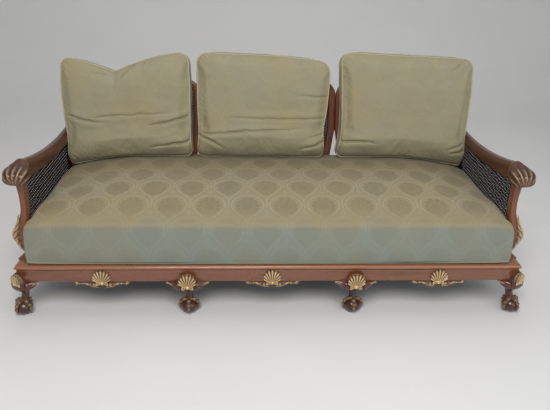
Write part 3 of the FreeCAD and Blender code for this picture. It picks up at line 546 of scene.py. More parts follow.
def new_group(name: str, inputs: Sequence[tuple[str, str, object]], outputs: Sequence[tuple[str, str]]
              ) -> tuple[bpy.types.NodeTree, Wiring, bpy.types.Node, bpy.types.Node]:
    """Start a shader node group with named sockets.

    Args:
        name: Name of the group.
        inputs: Name, socket type and default of each input.
        outputs: Name and socket type of each output.

    Returns:
        The tree, its wiring, and its input and output nodes.
    """
    tree = bpy.data.node_groups.new(name, "ShaderNodeTree")
    for label, kind, default in inputs:
        socket = tree.interface.new_socket(label, in_out="INPUT", socket_type=kind)
        if default is not None:
            socket.default_value = default
    for label, kind in outputs:
        tree.interface.new_socket(label, in_out="OUTPUT", socket_type=kind)
    wiring = Wiring(tree)
    entry = tree.nodes.new("NodeGroupInput")
    result = tree.nodes.new("NodeGroupOutput")
    return tree, wiring, entry, result


class SharedEffects:
    """Shader node groups that more than one finish uses, each built once."""

    FLOAT = "NodeSocketFloat"
    VECTOR = "NodeSocketVector"
    REPEAT_HEIGHT = 1.75
    OUTLINE_HALF = 0.42
    DOME_PLACE = 0.10
    FOOT_DROP = 0.72

    def __init__(self) -> None:
        """Build every group."""
        self.wood = self.build_wood()
        self.wear_and_shade = self.build_wear_and_shade()
        self.weave = self.build_weave()
        self.damask = self.build_damask()

    def build_wood(self) -> bpy.types.NodeTree:
        """Walnut figure: long wavy grain, pores and slow changes of tone.

        Returns:
            A group with Figure, Pores and Tone.
        """
        tree, w, entry, result = new_group(
            "Wood figure",
            (("Place", self.VECTOR, None), ("Stretch", self.VECTOR, (1.0, 1.0, 1.0)),
             ("Scale", self.FLOAT, 60.0)),
            (("Figure", self.FLOAT), ("Pores", self.FLOAT), ("Tone", self.FLOAT)))
        stretched = w.vector("MULTIPLY", entry.outputs["Place"], entry.outputs["Stretch"])
        slow = w.noise(stretched, 9.0, 2.0, 0.4)
        doubled = w.vector("ADD", stretched, stretched)
        wave = w.add("ShaderNodeTexNoise", {"Vector": doubled, "Scale": entry.outputs["Scale"],
                                            "Detail": 5.0, "Roughness": 0.62, "Distortion": 0.9})
        bands = w.maths("PINGPONG", w.plus(w.times(wave.outputs[0], 3.2), w.times(slow, 2.4)), 1.0)
        w.feed(result, {"Figure": bands, "Pores": w.noise(stretched, 900.0, 2.0), "Tone": slow})
        return tree

    def build_wear_and_shade(self) -> bpy.types.NodeTree:
        """Worn spots from handling, with dirt and painted shade in the hollows that the recess mask marks.

        Returns:
            A group with Worn and Grime.
        """
        tree, w, entry, result = new_group(
            "Wear from handling and painted shade", (("Place", self.VECTOR, None), ("Recess", self.FLOAT, 0.0)),
            (("Worn", self.FLOAT), ("Grime", self.FLOAT)))
        broad = w.noise(entry.outputs["Place"], 14.0, 4.0)
        fine = w.noise(entry.outputs["Place"], 160.0, 3.0)
        worn = w.times(w.maths("SMOOTH_MIN", broad, fine, 0.2), 1.4)
        # Painted shade in hollows from the recess mask, over fine random dirt
        grime = w.maths("MULTIPLY_ADD", entry.outputs["Recess"], 0.8, w.times(fine, 0.25))
        w.feed(result, {"Worn": worn, "Grime": grime})
        return tree

    def build_weave(self) -> bpy.types.NodeTree:
        """Fine crossing threads of a woven cloth.

        Returns:
            A group with Threads and Slub.
        """
        tree, w, entry, result = new_group(
            "Woven threads", (("Cloth", self.VECTOR, None), ("Pitch", self.FLOAT, 0.0011)),
            (("Threads", self.FLOAT), ("Slub", self.FLOAT)))
        split = w.add("ShaderNodeSeparateXYZ", {0: entry.outputs["Cloth"]})
        waves = []
        for axis in (0, 1):
            phase = w.maths("DIVIDE", split.outputs[axis], entry.outputs["Pitch"])
            waves.append(w.maths("SINE", w.times(phase, math.tau)))
        threads = w.maths("MULTIPLY_ADD", w.times(waves[0], waves[1]), 0.5, 0.5)
        drawn_out = w.vector("MULTIPLY", entry.outputs["Cloth"], (40.0, 900.0, 40.0))
        w.feed(result, {"Threads": threads, "Slub": w.noise(drawn_out, 1.0, 2.0)})
        return tree

    def build_damask(self) -> bpy.types.NodeTree:
        """Rows of lobed medallions, each in a pale outline that is domed above and tapers below.

        Returns:
            A group with Figure, for the medallions, and Band, for the pale lines.
        """
        tree, w, entry, result = new_group(
            "Medallion damask", (("Cloth", self.VECTOR, None), ("Repeat", self.FLOAT, 0.15)),
            (("Figure", self.FLOAT), ("Band", self.FLOAT)))
        split = w.add("ShaderNodeSeparateXYZ", {0: entry.outputs["Cloth"]})
        across = w.maths("DIVIDE", split.outputs[0], entry.outputs["Repeat"])
        along = w.maths("DIVIDE", split.outputs[1], w.times(entry.outputs["Repeat"], self.REPEAT_HEIGHT))
        cells = [self.damask_cell(w, w.plus(across, shift), w.plus(along, shift)) for shift in (0.0, 0.5)]
        (first, first_lines), (second, second_lines) = cells
        w.feed(result, {"Figure": w.maths("MAXIMUM", first, second),
                        "Band": w.maths("MAXIMUM", first_lines, second_lines)})
        return tree

    def damask_cell(self, w: Wiring, across: bpy.types.NodeSocket, along: bpy.types.NodeSocket
                    ) -> tuple[bpy.types.NodeSocket, bpy.types.NodeSocket]:
        """One set of repeating cells of the damask, with sizes in shares of its width.

        Args:
            w: Wiring of the group.
            across: Place across the cloth, in repeats.
            along: Place along the cloth, in repeats.

        Returns:
            Masks of the medallions and of the pale lines.
        """
        x = w.minus(w.maths("FRACT", across), 0.5)
        y = w.times(w.minus(w.maths("FRACT", along), 0.5), self.REPEAT_HEIGHT)
        side = w.maths("ABSOLUTE", x)
        rise = w.minus(y, self.DOME_PLACE)
        half = self.OUTLINE_HALF / 2
        swing = w.maths("COSINE", w.times(w.step(rise, 0.0, -self.FOOT_DROP), math.pi))
        inward = w.add("ShaderNodeMix", {
            0: w.maths("GREATER_THAN", rise, 0.0),
            2: w.minus(w.maths("MULTIPLY_ADD", swing, half, half), side),
            3: w.minus(self.OUTLINE_HALF, w.length(x, rise))}).outputs[0]
        lifted = w.plus(rise, 0.05)
        round_out = w.length(x, w.maths("DIVIDE", lifted, 1.25))
        spokes = w.times(w.maths("ARCTAN2", x, lifted), 5.5)
        lobe = w.maths("ABSOLUTE", w.maths("SINE", spokes))
        rim = w.maths("MULTIPLY_ADD", lobe, 0.045, 0.275)
        medallion = w.step(w.minus(rim, round_out), -0.012, 0.012)
        ring = w.step(w.maths("ABSOLUTE", w.minus(round_out, 0.18)), 0.020, 0.008)
        veins = w.times(w.maths("MAXIMUM", w.step(lobe, 0.40, 0.12), ring), w.step(round_out, 0.085, 0.105))
        body = w.times(medallion, w.step(inward, 0.045, 0.060))
        edge = w.step(w.maths("ABSOLUTE", inward), 0.030, 0.016)
        sprig = w.plus(w.times(side, 11.0), w.times(w.maths("ABSOLUTE", w.minus(rise, 0.60)), 8.0))
        pale = w.maths("MAXIMUM", edge, w.times(w.step(sprig, 1.1, 0.8), 0.5))
        return w.maths("MULTIPLY_ADD", w.times(veins, body), -0.5, body), pale


EFFECTS = SharedEffects()


def start_material(name: str) -> tuple[bpy.types.Material, Wiring, bpy.types.Node, bpy.types.NodeSocket]:
    """A new material with a Principled shader.

    Args:
        name: Name of the finish.

    Returns:
        The material, its wiring, the shader and the object coordinates.
    """
    material = bpy.data.materials.new(name)
    material.use_nodes = True
    tree = material.node_tree
    shader = tree.nodes["Principled BSDF"]
    place = tree.nodes.new("ShaderNodeTexCoord").outputs["Object"]
    return material, Wiring(tree), shader, place


@dataclass(frozen=True)
class WalnutFinish:
    """Polished red-brown walnut, with dull gilding where a piece's gilt mask says so."""

    name: str
    grain: Grain
    dark: Colour = (0.036, 0.010, 0.005)
    light: Colour = (0.225, 0.074, 0.030)
    coat: float = 0.35
    roughness: float = 0.28
    carved: bool = False
    # Painted highlight colour for the lit nosing, where the edge mask is set
    rubbed: Colour = (0.42, 0.18, 0.085)
    # Near-black colour for painted shade in hollows, mixed with dirt
    grime: Colour = (0.012, 0.006, 0.004)
    gilt_dull: Colour = (0.56, 0.345, 0.145)
    gilt_bright: Colour = (0.98, 0.71, 0.38)
    # Colour of gilding in hollows: painted shade with some dirt
    gilt_recess: Colour = (0.036, 0.014, 0.007)

    def material(self) -> bpy.types.Material:
        """Build the finish.

        Returns:
            The material.
        """
        material, w, shader, place = start_material(self.name)
        figure = w.group(EFFECTS.wood, {"Place": place, "Stretch": self.grain.value, "Scale": 34.0})
        recess = w.mask("recess") if self.carved else 0.0
        wear_and_shade = w.group(EFFECTS.wear_and_shade, {"Place": place, "Recess": recess})
        middle = tuple(0.55 * a + 0.45 * b for a, b in zip(self.light, self.dark))
        colour = w.ramp(figure.outputs["Figure"], ((0.0, self.dark), (0.35, middle), (1.0, self.light)))
        toned = w.blend(w.times(figure.outputs["Tone"], 0.55), colour, self.light)
        pores = w.maths("LESS_THAN", figure.outputs["Pores"], 0.38)
        pored = w.blend(w.times(pores, 0.5), toned, self.dark)
        # Painted highlight on the rail's nosing, where the edge mask is set
        rubbed = w.blend(w.times(w.mask("edge"), 0.55), pored, self.rubbed)
        # Painted shade: hollows of carving darken toward the near-black colour, over fine random dirt
        shaded_and_grimed = w.blend(w.times(wear_and_shade.outputs["Grime"], 0.75), rubbed, self.grime)
        rough = w.maths("MULTIPLY_ADD", wear_and_shade.outputs["Worn"], 0.16, self.roughness - 0.08)
        bump_height = w.times(figure.outputs["Pores"], 0.2)
        if self.carved:
            broken = w.times(w.mask("gilt"), w.minus(1.0, w.times(wear_and_shade.outputs["Worn"], 0.28)))
            leaf = w.ramp(wear_and_shade.outputs["Worn"], ((0.1, self.gilt_dull), (0.8, self.gilt_bright)))
            # Gilding in hollows is darkened as painted shade with some dirt
            gilt_shade_and_dirt = w.blend(w.times(recess, 0.95), leaf, self.gilt_recess)
            shaded_and_grimed = w.blend(broken, shaded_and_grimed, gilt_shade_and_dirt)
            shine = w.times(broken, w.minus(0.75, w.times(recess, 0.6)))
            w.tree.links.new(shine, shader.inputs["Metallic"])
            rough = w.maths("MULTIPLY_ADD", broken, 0.04, rough)
            bump_height = w.plus(bump_height, w.times(wear_and_shade.outputs["Grime"], 0.5))
        bump = w.add("ShaderNodeBump", {"Height": bump_height, "Strength": 0.25, "Distance": 0.0006})
        w.tree.links.new(shaded_and_grimed, shader.inputs["Base Color"])
        w.tree.links.new(rough, shader.inputs["Roughness"])
        w.tree.links.new(bump.outputs[0], shader.inputs["Normal"])
        shader.inputs["Coat Weight"].default_value = self.coat
        shader.inputs["Coat Roughness"].default_value = 0.12
        return material


@dataclass(frozen=True)
class PlainWoodFinish:
    """Unpolished frame wood that the upholstery and the back hide."""

    name: str = "frame_beech"
    dark: Colour = (0.16, 0.082, 0.036)
    light: Colour = (0.34, 0.20, 0.10)
    dust: Colour = (0.09, 0.06, 0.04)

    def material(self) -> bpy.types.Material:
        """Build the finish.

        Returns:
            The material.
        """
        material, w, shader, place = start_material(self.name)
        figure = w.group(EFFECTS.wood, {"Place": place, "Stretch": Grain.ALONG.value, "Scale": 40.0})
        wear_and_shade = w.group(EFFECTS.wear_and_shade, {"Place": place, "Recess": 0.0})
        colour = w.ramp(figure.outputs["Figure"], ((0.0, self.dark), (1.0, self.light)))
        dusty = w.blend(w.times(wear_and_shade.outputs["Grime"], 0.9), colour, self.dust)
        bump = w.add("ShaderNodeBump", {"Height": figure.outputs["Pores"], "Strength": 0.3,
                                        "Distance": 0.0008})
        w.tree.links.new(dusty, shader.inputs["Base Color"])
        w.tree.links.new(bump.outputs[0], shader.inputs["Normal"])
        shader.inputs["Roughness"].default_value = 0.62
        return material


@dataclass(frozen=True)
class CaneFinish:
    """Dark stained cane with a dull bark."""

    name: str = "woven_cane"
    dark: Colour = (0.006, 0.003, 0.002)
    light: Colour = (0.034, 0.014, 0.008)

    def material(self) -> bpy.types.Material:
        """Build the finish.

        Returns:
            The material.
        """
        material, w, shader, place = start_material(self.name)
        tone = w.noise(place, 55.0, 4.0)
        fleck = w.noise(place, 700.0, 2.0)
        colour = w.ramp(w.maths("MULTIPLY_ADD", fleck, 0.3, w.times(tone, 0.8)),
                        ((0.25, self.dark), (0.8, self.light)))
        bump = w.add("ShaderNodeBump", {"Height": fleck, "Strength": 0.25, "Distance": 0.0003})
        w.tree.links.new(colour, shader.inputs["Base Color"])
        w.tree.links.new(bump.outputs[0], shader.inputs["Normal"])
        shader.inputs["Roughness"].default_value = 0.7
        shader.inputs["Specular IOR Level"].default_value = 0.08
        return material


@dataclass(frozen=True)
class DamaskFinish:
    """Sage tone-on-tone damask, which needs a piece's cloth coordinates."""

    name: str
    ground: Colour = (0.272, 0.236, 0.143)
    figure: Colour = (0.200, 0.168, 0.092)
    band: Colour = (0.345, 0.308, 0.205)
    strength: float = 1.0
    repeat: float = 0.1435
    start: float = 0.0
    sheen: float = 0.15
    # Painted cool reflection: a blue-grey tint for the border and ends, which face the cool light
    painted_cool_reflection: Colour = (0.76, 0.99, 1.40)
    shaded: Colour = (0.55, 0.515, 0.375)

    def material(self) -> bpy.types.Material:
        """Build the finish.

        Returns:
            The material.
        """
        material, w, shader, place = start_material(self.name)
        cloth = w.add("ShaderNodeAttribute", attribute_name="cloth").outputs["Vector"]
        waver = w.add("ShaderNodeTexNoise", {"Vector": cloth, "Scale": 60.0, "Detail": 2.0}).outputs[1]
        moved = w.vector("ADD", cloth, (self.start, 0.0, 0.0))
        drift = w.vector("MULTIPLY", w.vector("SUBTRACT", waver, (0.5, 0.5, 0.5)), (0.006, 0.006, 0.0))
        eased = w.vector("ADD", moved, drift)
        pattern = w.group(EFFECTS.damask, {"Cloth": eased, "Repeat": self.repeat})
        weave = w.group(EFFECTS.weave, {"Cloth": cloth, "Pitch": 0.0013})
        wear_and_shade = w.group(EFFECTS.wear_and_shade, {"Place": place, "Recess": 0.0})
        # fade marks the seat's border and ends for a painted cool reflection; shade marks the back of the top
        # for painted shadow
        fade, shade = w.mask("fade"), w.mask("shade")
        patchy = w.maths("MULTIPLY_ADD", w.noise(place, 9.0, 2.0), 1.1, 0.35)
        # The pattern is weakened under the painted cool reflection and under the painted highlight along the
        # top's front edge
        kept = w.times(w.maths("MULTIPLY_ADD", fade, -0.62, self.strength),
                       w.minus(1.0, w.times(w.mask("rubbed"), 0.7)))
        kept = w.maths("MAXIMUM", w.times(kept, patchy), 0.0)
        base = w.blend(w.times(pattern.outputs["Figure"], kept), self.ground, self.figure)
        lace = w.maths("MULTIPLY_ADD", w.noise(cloth, 230.0, 1.0), 1.9, -0.15)
        lined = w.blend(w.times(w.times(pattern.outputs["Band"], lace), kept), base, self.band)
        threads = w.maths("MULTIPLY_ADD", weave.outputs["Slub"], 0.34,
                          w.times(weave.outputs["Threads"], 0.12))
        woven = w.blend(w.times(threads, 0.5), lined, tuple(c * 0.62 for c in self.ground))
        slubs = w.ramp(w.noise(cloth, 330.0), ((0.30, (0.87, 0.86, 0.84)), (0.70, (1.12, 1.12, 1.12))))
        mottled = w.blend(1.0, woven, slubs, "MULTIPLY")
        cast = w.ramp(w.noise(place, 4.5, 2.0), ((0.32, (1.03, 0.98, 0.92)), (0.68, (0.96, 1.00, 1.05))))
        tinted = w.blend(1.0, mottled, cast, "MULTIPLY")
        # Painted cool reflection on the border and ends, then painted shadow toward the back of the top
        cooled = w.blend(fade, tinted, w.blend(1.0, tinted, self.painted_cool_reflection, "MULTIPLY"))
        deepened = w.blend(shade, cooled, w.blend(1.0, cooled, self.shaded, "MULTIPLY"))
        worn = w.blend(w.times(wear_and_shade.outputs["Worn"], 0.20), deepened,
                       tuple(c * 1.25 for c in self.ground))
        relief = w.plus(w.times(pattern.outputs["Band"], 0.6), w.times(pattern.outputs["Figure"], 0.4))
        height = w.plus(w.times(weave.outputs["Threads"], 0.35), relief)
        bump = w.add("ShaderNodeBump", {"Height": height, "Strength": 0.35, "Distance": 0.0006})
        rough = w.minus(0.86, w.times(pattern.outputs["Figure"], 0.16))
        w.tree.links.new(worn, shader.inputs["Base Color"])
        w.tree.links.new(rough, shader.inputs["Roughness"])
        w.tree.links.new(bump.outputs[0], shader.inputs["Normal"])
        shader.inputs["Sheen Weight"].default_value = self.sheen
        shader.inputs["Sheen Roughness"].default_value = 0.4
        return material


@dataclass(frozen=True)
class CoarseClothFinish:
    """Jute webbing or bottoming cloth under the seat."""

    name: str
    colour: tuple[float, float, float]
    pitch: float

    def material(self) -> bpy.types.Material:
        """Build the finish.

        Returns:
            The material.
        """
        material, w, shader, place = start_material(self.name)
        weave = w.group(EFFECTS.weave, {"Cloth": place, "Pitch": self.pitch})
        shade = w.blend(w.maths("MULTIPLY_ADD", weave.outputs["Threads"], 0.5,
                                w.times(weave.outputs["Slub"], 0.3)),
                        tuple(c * 0.55 for c in self.colour), self.colour)
        bump = w.add("ShaderNodeBump", {"Height": weave.outputs["Threads"], "Strength": 0.5,
                                        "Distance": 0.0008})
        w.tree.links.new(shade, shader.inputs["Base Color"])
        w.tree.links.new(bump.outputs[0], shader.inputs["Normal"])
        shader.inputs["Roughness"].default_value = 0.9
        return material


class Palette:
    """Every finish of the sofa, each built once."""

    def __init__(self) -> None:
        """Build the materials."""
        self.along = WalnutFinish("walnut_along", Grain.ALONG, coat=0.85).material()
        self.deep = WalnutFinish("walnut_deep", Grain.DEEP).material()
        self.upright = WalnutFinish("walnut_upright", Grain.UP, light=(0.205, 0.062, 0.025)).material()
        self.carved = WalnutFinish("walnut_carved", Grain.UP, dark=(0.012, 0.004, 0.0025),
                                   light=(0.095, 0.028, 0.013), coat=0.4, carved=True).material()
        self.carved_arm = WalnutFinish("walnut_carved_arm", Grain.DEEP, dark=(0.014, 0.0045, 0.0025),
                                       light=(0.105, 0.030, 0.013), coat=0.2, roughness=0.32,
                                       carved=True).material()
        self.beech = PlainWoodFinish().material()
        self.cane = CaneFinish().material()
        self.cushion_damask = DamaskFinish("damask_cushions", ground=(0.290, 0.262, 0.165),
                                           figure=(0.250, 0.227, 0.142), band=(0.322, 0.294, 0.190),
                                           strength=0.5).material()
        self.seat_damask = DamaskFinish("damask_seat", start=-0.050, strength=0.95).material()
        self.piping = DamaskFinish("damask_piping", ground=(0.390, 0.355, 0.240), strength=0.0).material()
        self.webbing = CoarseClothFinish("jute_webbing", (0.34, 0.26, 0.15), 0.0024).material()
        self.bottoming = CoarseClothFinish("bottoming_cloth", (0.03, 0.028, 0.026), 0.0012).material()


# Seat frame

@dataclass
class SeatFrame:
    """The show-wood seat rails with their moulded nosing, and the plain members inside."""

    nosing_drop: float = 0.013
    nosing_reach: float = 0.0052
    quirk: float = 0.0018
    thickness: float = 0.045
    arris: float = 0.0022

    def profile(self) -> list[tuple[float, float]]:
        """Distance inward and height of the rail's moulded section, outer face first.

        Returns:
            The section's corners.
        """
        low, top = LAYOUT.rail_low, LAYOUT.rail_top
        drop, reach, arris = self.nosing_drop, self.nosing_reach, self.arris
        section = [(self.thickness, low), (arris, low), (arris * 0.3, low + arris * 0.3), (0.0, low + arris),
                   (0.0, top - drop - 0.0045), (self.quirk, top - drop - 0.0035),
                   (self.quirk, top - drop - 0.0008), (0.0, top - drop)]
        for step in range(9):
            angle = -math.pi / 2 + math.pi * step / 8
            section.append((-reach * math.cos(angle),
                            top - drop / 2 + drop / 2 * math.sin(angle)))
        section.append((self.thickness, top))
        return section

    def rails(self) -> MeshParts:
        """Front and side rails as one run of moulding with mitred corners.

        Returns:
            The rails.
        """
        half = LAYOUT.rail_half
        rear_half = half - LAYOUT.side_taper
        front, rear = LAYOUT.rail_face, LAYOUT.back_face
        steps = 24
        rings = []
        for sign in (-1, 1):
            ends = [(sign * rear_half, rear, 0.0), (sign * half, front, 1.0)]
            for x, y, mitre in ends if sign < 0 else reversed(ends):
                rings.append([Vector((x - sign * d, y + d * mitre, z)) for d, z in self.profile()])
            if sign < 0:
                corner = rings[-1]
                for step in range(1, steps):
                    share = step / steps
                    rings.append([Vector((p.x * (1 - 2 * share), p.y, p.z)) for p in corner])
        corners = len(self.profile())
        # The edge mask marks the nosing for a painted highlight
        nosing = [1.0 if corners - 10 <= i < corners - 1 else 0.0 for i in range(corners)]
        return skin(rings).mask("edge", nosing * len(rings))

    def build(self, palette: Palette) -> None:
        """Make the rails and finish the hidden members.

        Args:
            palette: The sofa's finishes.
        """
        make_piece(self.rails(), Dressing("seat_rails", "walnut",
                                          ("front_rail", "side_rail_left", "side_rail_right")),
                   palette.along)
        plain = {
            palette.beech: ("back_rail", "cross_rail_left", "cross_rail_right", "corner_blocks",
                            "back_leg_mid_left", "back_leg_mid_right"),
            palette.deep: ("side_bar_left", "side_bar_right"),
            palette.webbing: ("seat_webbing",),
            palette.bottoming: ("bottoming_cloth",),
        }
        for material, nodes in plain.items():
            for node in nodes:
                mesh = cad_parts[node].data
                mesh.materials.clear()
                mesh.materials.append(material)


# Carving

@dataclass(frozen=True)
class Scallop:
    """A carved shell that faces -Y, with its hinge at the bottom over its own origin."""

    width: float = 0.066
    height: float = 0.060
    thickness: float = 0.0075
    flutes: int = 9
    start: float = math.radians(-24)

    def parts(self) -> MeshParts:
        """Build the shell with its ribs and two small volutes.

        Returns:
            The shell, gilt all over, with painted shade in its valleys and round its rim.
        """
        sweep = math.pi - 2 * self.start
        columns, rows = self.flutes * 8, 12
        middle = self.height * 0.46
        hinge = Vector((0.0, 0.0, self.height * 0.05))
        rings, recess = [], []
        for row in range(rows + 1):
            share = 0.10 + 0.90 * row / rows
            dome = self.thickness * (0.42 + 0.58 * math.sin(math.pi * min(1.0, share * 0.86)) ** 0.8)
            ring = []
            for column in range(columns + 1):
                angle = self.start + sweep * column / columns
                rib = abs(math.sin(math.pi * self.flutes * column / columns)) ** 0.7
                reach = 0.90 + 0.10 * rib
                edge = Vector((self.width / 2 * math.cos(angle) * reach, 0.0,
                               middle + self.height * 0.54 * math.sin(angle) * reach))
                point = hinge + (edge - hinge) * share
                lift = dome + self.thickness * (0.45 * rib - 0.42 * (1 - rib)) * share
                ring.append(Vector((point.x, -max(0.0008, lift), point.z)))
                # Painted shade through the recess mask: the valleys between ribs and the rim are darkened
                valley = 1 - abs(math.sin(math.pi * self.flutes * column / columns))
                recess.append(min(1.0, 1.35 * valley * ease(share, 0.05, 0.35)
                                  + 0.5 * ease(share, 0.965, 1.0)))
            rings.append(ring)
        rim = [Vector((p.x, 0.004, p.z)) for p in rings[-1]]
        rings.append(rim)
        recess += [0.6] * len(rim)
        parts = skin(rings, False, False, closed=False)
        first = [i * (columns + 1) for i in range(len(rings))]
        last = [i * (columns + 1) + columns for i in range(len(rings))]
        parts.faces.append(tuple(first))
        parts.faces.append(tuple(reversed(last)))
        parts.mask("recess", recess).fill_mask("gilt", 1.0)
        for sign in (-1, 1):
            eye = Vector((sign * self.width * 0.20, -self.thickness * 0.8, self.height * 0.05))
            path = spiral(eye, Vector((sign, 0, 0)), Vector((0, 0, 1)), self.width * 0.12, 1.4, -1.2)
            volute = tube(path, [0.0026 * (1 - 0.45 * i / 21) for i in range(22)])
            parts.join(volute.coat(gilt=1.0, recess=0.1))
        knob = tube([Vector((0, -self.thickness * s, self.height * 0.06)) for s in (0.2, 0.9, 1.2, 1.3)],
                    [0.0062, 0.0060, 0.0038, 0.0008], 14)
        return parts.join(knob.coat(gilt=1.0, recess=0.1))


@dataclass(frozen=True)
class LegPlace:
    """Where one front leg stands and how its knee faces."""

    name: str
    across: float
    setback: float
    turn: float
    reach: float
    sway: float
    shell_width: float
    shell_low: float
    shell_shift: float


@dataclass
class FrontLegs:
    """Cabriole legs with claw and ball feet, carved knees and scrolled brackets."""

    ball_radius: float = 0.0328
    ball_rise: float = 0.0280
    ball_middle: float = 0.0280
    shell_share: float = 0.92
    knee_half: float = 0.031
    wing_reach: float = 0.078
    wing_low: float = 0.1125

    def places(self) -> tuple[LegPlace, ...]:
        """The four legs in order from the left.

        Returns:
            Their places.
        """
        corner = LAYOUT.rail_half + 0.005
        turn = math.radians(28)
        return (
            LegPlace("left", -corner, 0.021, -turn, 0.031, 0.010, 0.048, 0.148, 0.014),
            LegPlace("mid_left", -LAYOUT.leg_station, 0.025, 0.0, 0.044, 0.0, 0.066, 0.130, 0.0),
            LegPlace("mid_right", LAYOUT.leg_station, 0.025, 0.0, 0.044, 0.0, 0.066, 0.130, 0.0),
            LegPlace("right", corner, 0.021, turn, 0.031, -0.010, 0.048, 0.148, -0.014),
        )

    def shaft(self, place: LegPlace) -> MeshParts:
        """The double curve from the ball to the top of the knee.

        Args:
            place: The leg.

        Returns:
            The shaft.
        """
        reach, knee = place.reach, self.knee_half
        rows = (
            (0.044, -0.012, 0.024, 0.0190, 0.0),
            (0.054, -0.008, 0.025, 0.0165, 0.0),
            (0.066, 0.000, 0.0275, 0.0136, 0.0),
            (0.080, 0.004, 0.0325, 0.0126, 0.0),
            (0.092, 0.002, 0.0345, 0.0145, 0.1),
            (0.103, -reach * 0.34, 0.0355, 0.0230, 0.35),
            (0.114, -reach * 0.78, 0.0325, 0.0310, 0.7),
            (0.127, -reach * 1.02, 0.0240, knee * 1.10, 0.9),
            (0.142, -reach * 1.03, 0.0200, knee * 1.08, 1.0),
            (0.158, -reach * 0.98, 0.0190, knee * 0.98, 1.0),
            (0.173, -reach * 0.88, 0.0180, knee * 0.72, 1.0),
            (0.182, -reach * 0.74, 0.0160, knee * 0.42, 1.0),
            (0.187, -reach * 0.58, 0.0080, knee * 0.14, 1.0),
        )
        rings = []
        for z, front, rear, half, share in smooth_rows(rows, 3):
            centre = Vector((place.sway * share, (front + rear) / 2, z))
            rings.append(oval(centre, Vector((half, 0, 0)), Vector((0, (rear - front) / 2, 0)), 2.5, 28))
        return skin(rings).coat()

    def ball(self) -> MeshParts:
        """The ball with a flat under it.

        Returns:
            The ball.
        """
        rings = []
        bands, sides = 22, 36
        for i in range(1, bands):
            angle = -math.pi / 2 + math.pi * i / bands
            z = self.ball_middle + self.ball_rise * math.sin(angle)
            reach = self.ball_radius * math.cos(angle)
            rings.append(oval(Vector((0, 0, max(0.0, z))), Vector((reach, 0, 0)), Vector((0, reach, 0)),
                              2.0, sides))
        # The recess mask also darkens the whole ball
        return skin(rings).coat(recess=0.55)

    def talon(self, heading: float) -> MeshParts:
        """One toe with its knuckles and its nail.

        Args:
            heading: Direction seen from above.

        Returns:
            The toe.
        """
        # The last column feeds the recess mask: painted shade in the grooves between the knuckles
        rows = (
            (2, 0.0010, 0.0095, 0.0070, 0.2), (18, 0.0022, 0.0080, 0.0062, 0.6),
            (32, 0.0050, 0.0084, 0.0080, 0.0), (44, 0.0030, 0.0064, 0.0056, 0.8),
            (58, 0.0056, 0.0076, 0.0078, 0.0), (70, 0.0030, 0.0056, 0.0050, 0.8),
            (84, 0.0046, 0.0064, 0.0066, 0.0), (94, 0.0022, 0.0048, 0.0044, 0.9),
            (104, 0.0020, 0.0042, 0.0042, 0.1), (116, 0.0016, 0.0028, 0.0030, 0.0),
            (128, 0.0002, 0.0010, 0.0010, 0.0),
        )
        out = Vector((math.cos(heading), math.sin(heading), 0))
        beside = Vector((-math.sin(heading), math.cos(heading), 0))
        up = Vector((0, 0, 1))
        middle = Vector((0, 0, self.ball_middle))
        rings, recess = [], []
        for polar, height, wide, tall, groove in smooth_rows(rows, 3):
            tilt = math.radians(polar)
            normal = out * math.sin(tilt) + up * math.cos(tilt)
            centre = middle + (out * math.sin(tilt) * (self.ball_radius + height)
                               + up * math.cos(tilt) * (self.ball_rise + height))
            rings.append(oval(centre, beside * wide, normal * tall, 2.2, 14))
            recess += [groove] * 14
        return skin(rings).mask("recess", recess).fill_mask("gilt", 0.22)

    def wing(self, sign: int, start: float, place: LegPlace, gilt: float = 0.75) -> MeshParts:
        """A scrolled bracket beside the knee, drawn along X.

        Args:
            sign: 1 for the side toward +X.
            start: Depth of the rail's face in the leg's own place.
            place: The leg.
            gilt: How much of its lip is gilded.

        Returns:
            The bracket.
        """
        rows = (
            (0.006, -place.reach * 0.80, 0.020, 0.108, 0.152),
            (0.020, -place.reach * 0.74, 0.020, 0.108, 0.152),
            (0.034, start - 0.020, 0.016, self.wing_low, 0.152),
            (0.048, start - 0.012, 0.010, 0.1180, 0.1518),
            (0.060, start - 0.007, 0.006, 0.1265, 0.1515),
            (0.070, start - 0.003, 0.004, 0.1365, 0.1512),
            (self.wing_reach, start, 0.002, 0.1465, 0.1508),
        )
        rings = []
        for x, front, rear, low, high in smooth_rows(rows, 3):
            centre = Vector((sign * x, (front + rear) / 2, (low + high) / 2))
            rings.append(oval(centre, Vector((0, (rear - front) / 2, 0)), Vector((0, 0, (high - low) / 2)),
                              2.8, 20))
        parts = skin(rings).coat()
        face = start - 0.0130
        lip = [Vector((sign * x, face + 0.012 * t, 0.1462 - 0.006 * bump_curve(x, 0.052, 0.016)))
               for x, t in ((0.034, 0.0), (0.042, 0.25), (0.050, 0.45),
                            (0.058, 0.6), (0.066, 0.8), (0.073, 1.0))]
        lip += spiral(Vector((sign * 0.0745, face + 0.0118, 0.1450)), Vector((sign, 0, 0)), Vector((0, 0, 1)),
                      0.0042, -1.1, 1.6, 12)
        radii = [0.0022] * 6 + [0.0018 - 0.0001 * i for i in range(12)]
        edge = tube(lip, radii)
        return parts.join(edge.coat(gilt, recess=0.15))

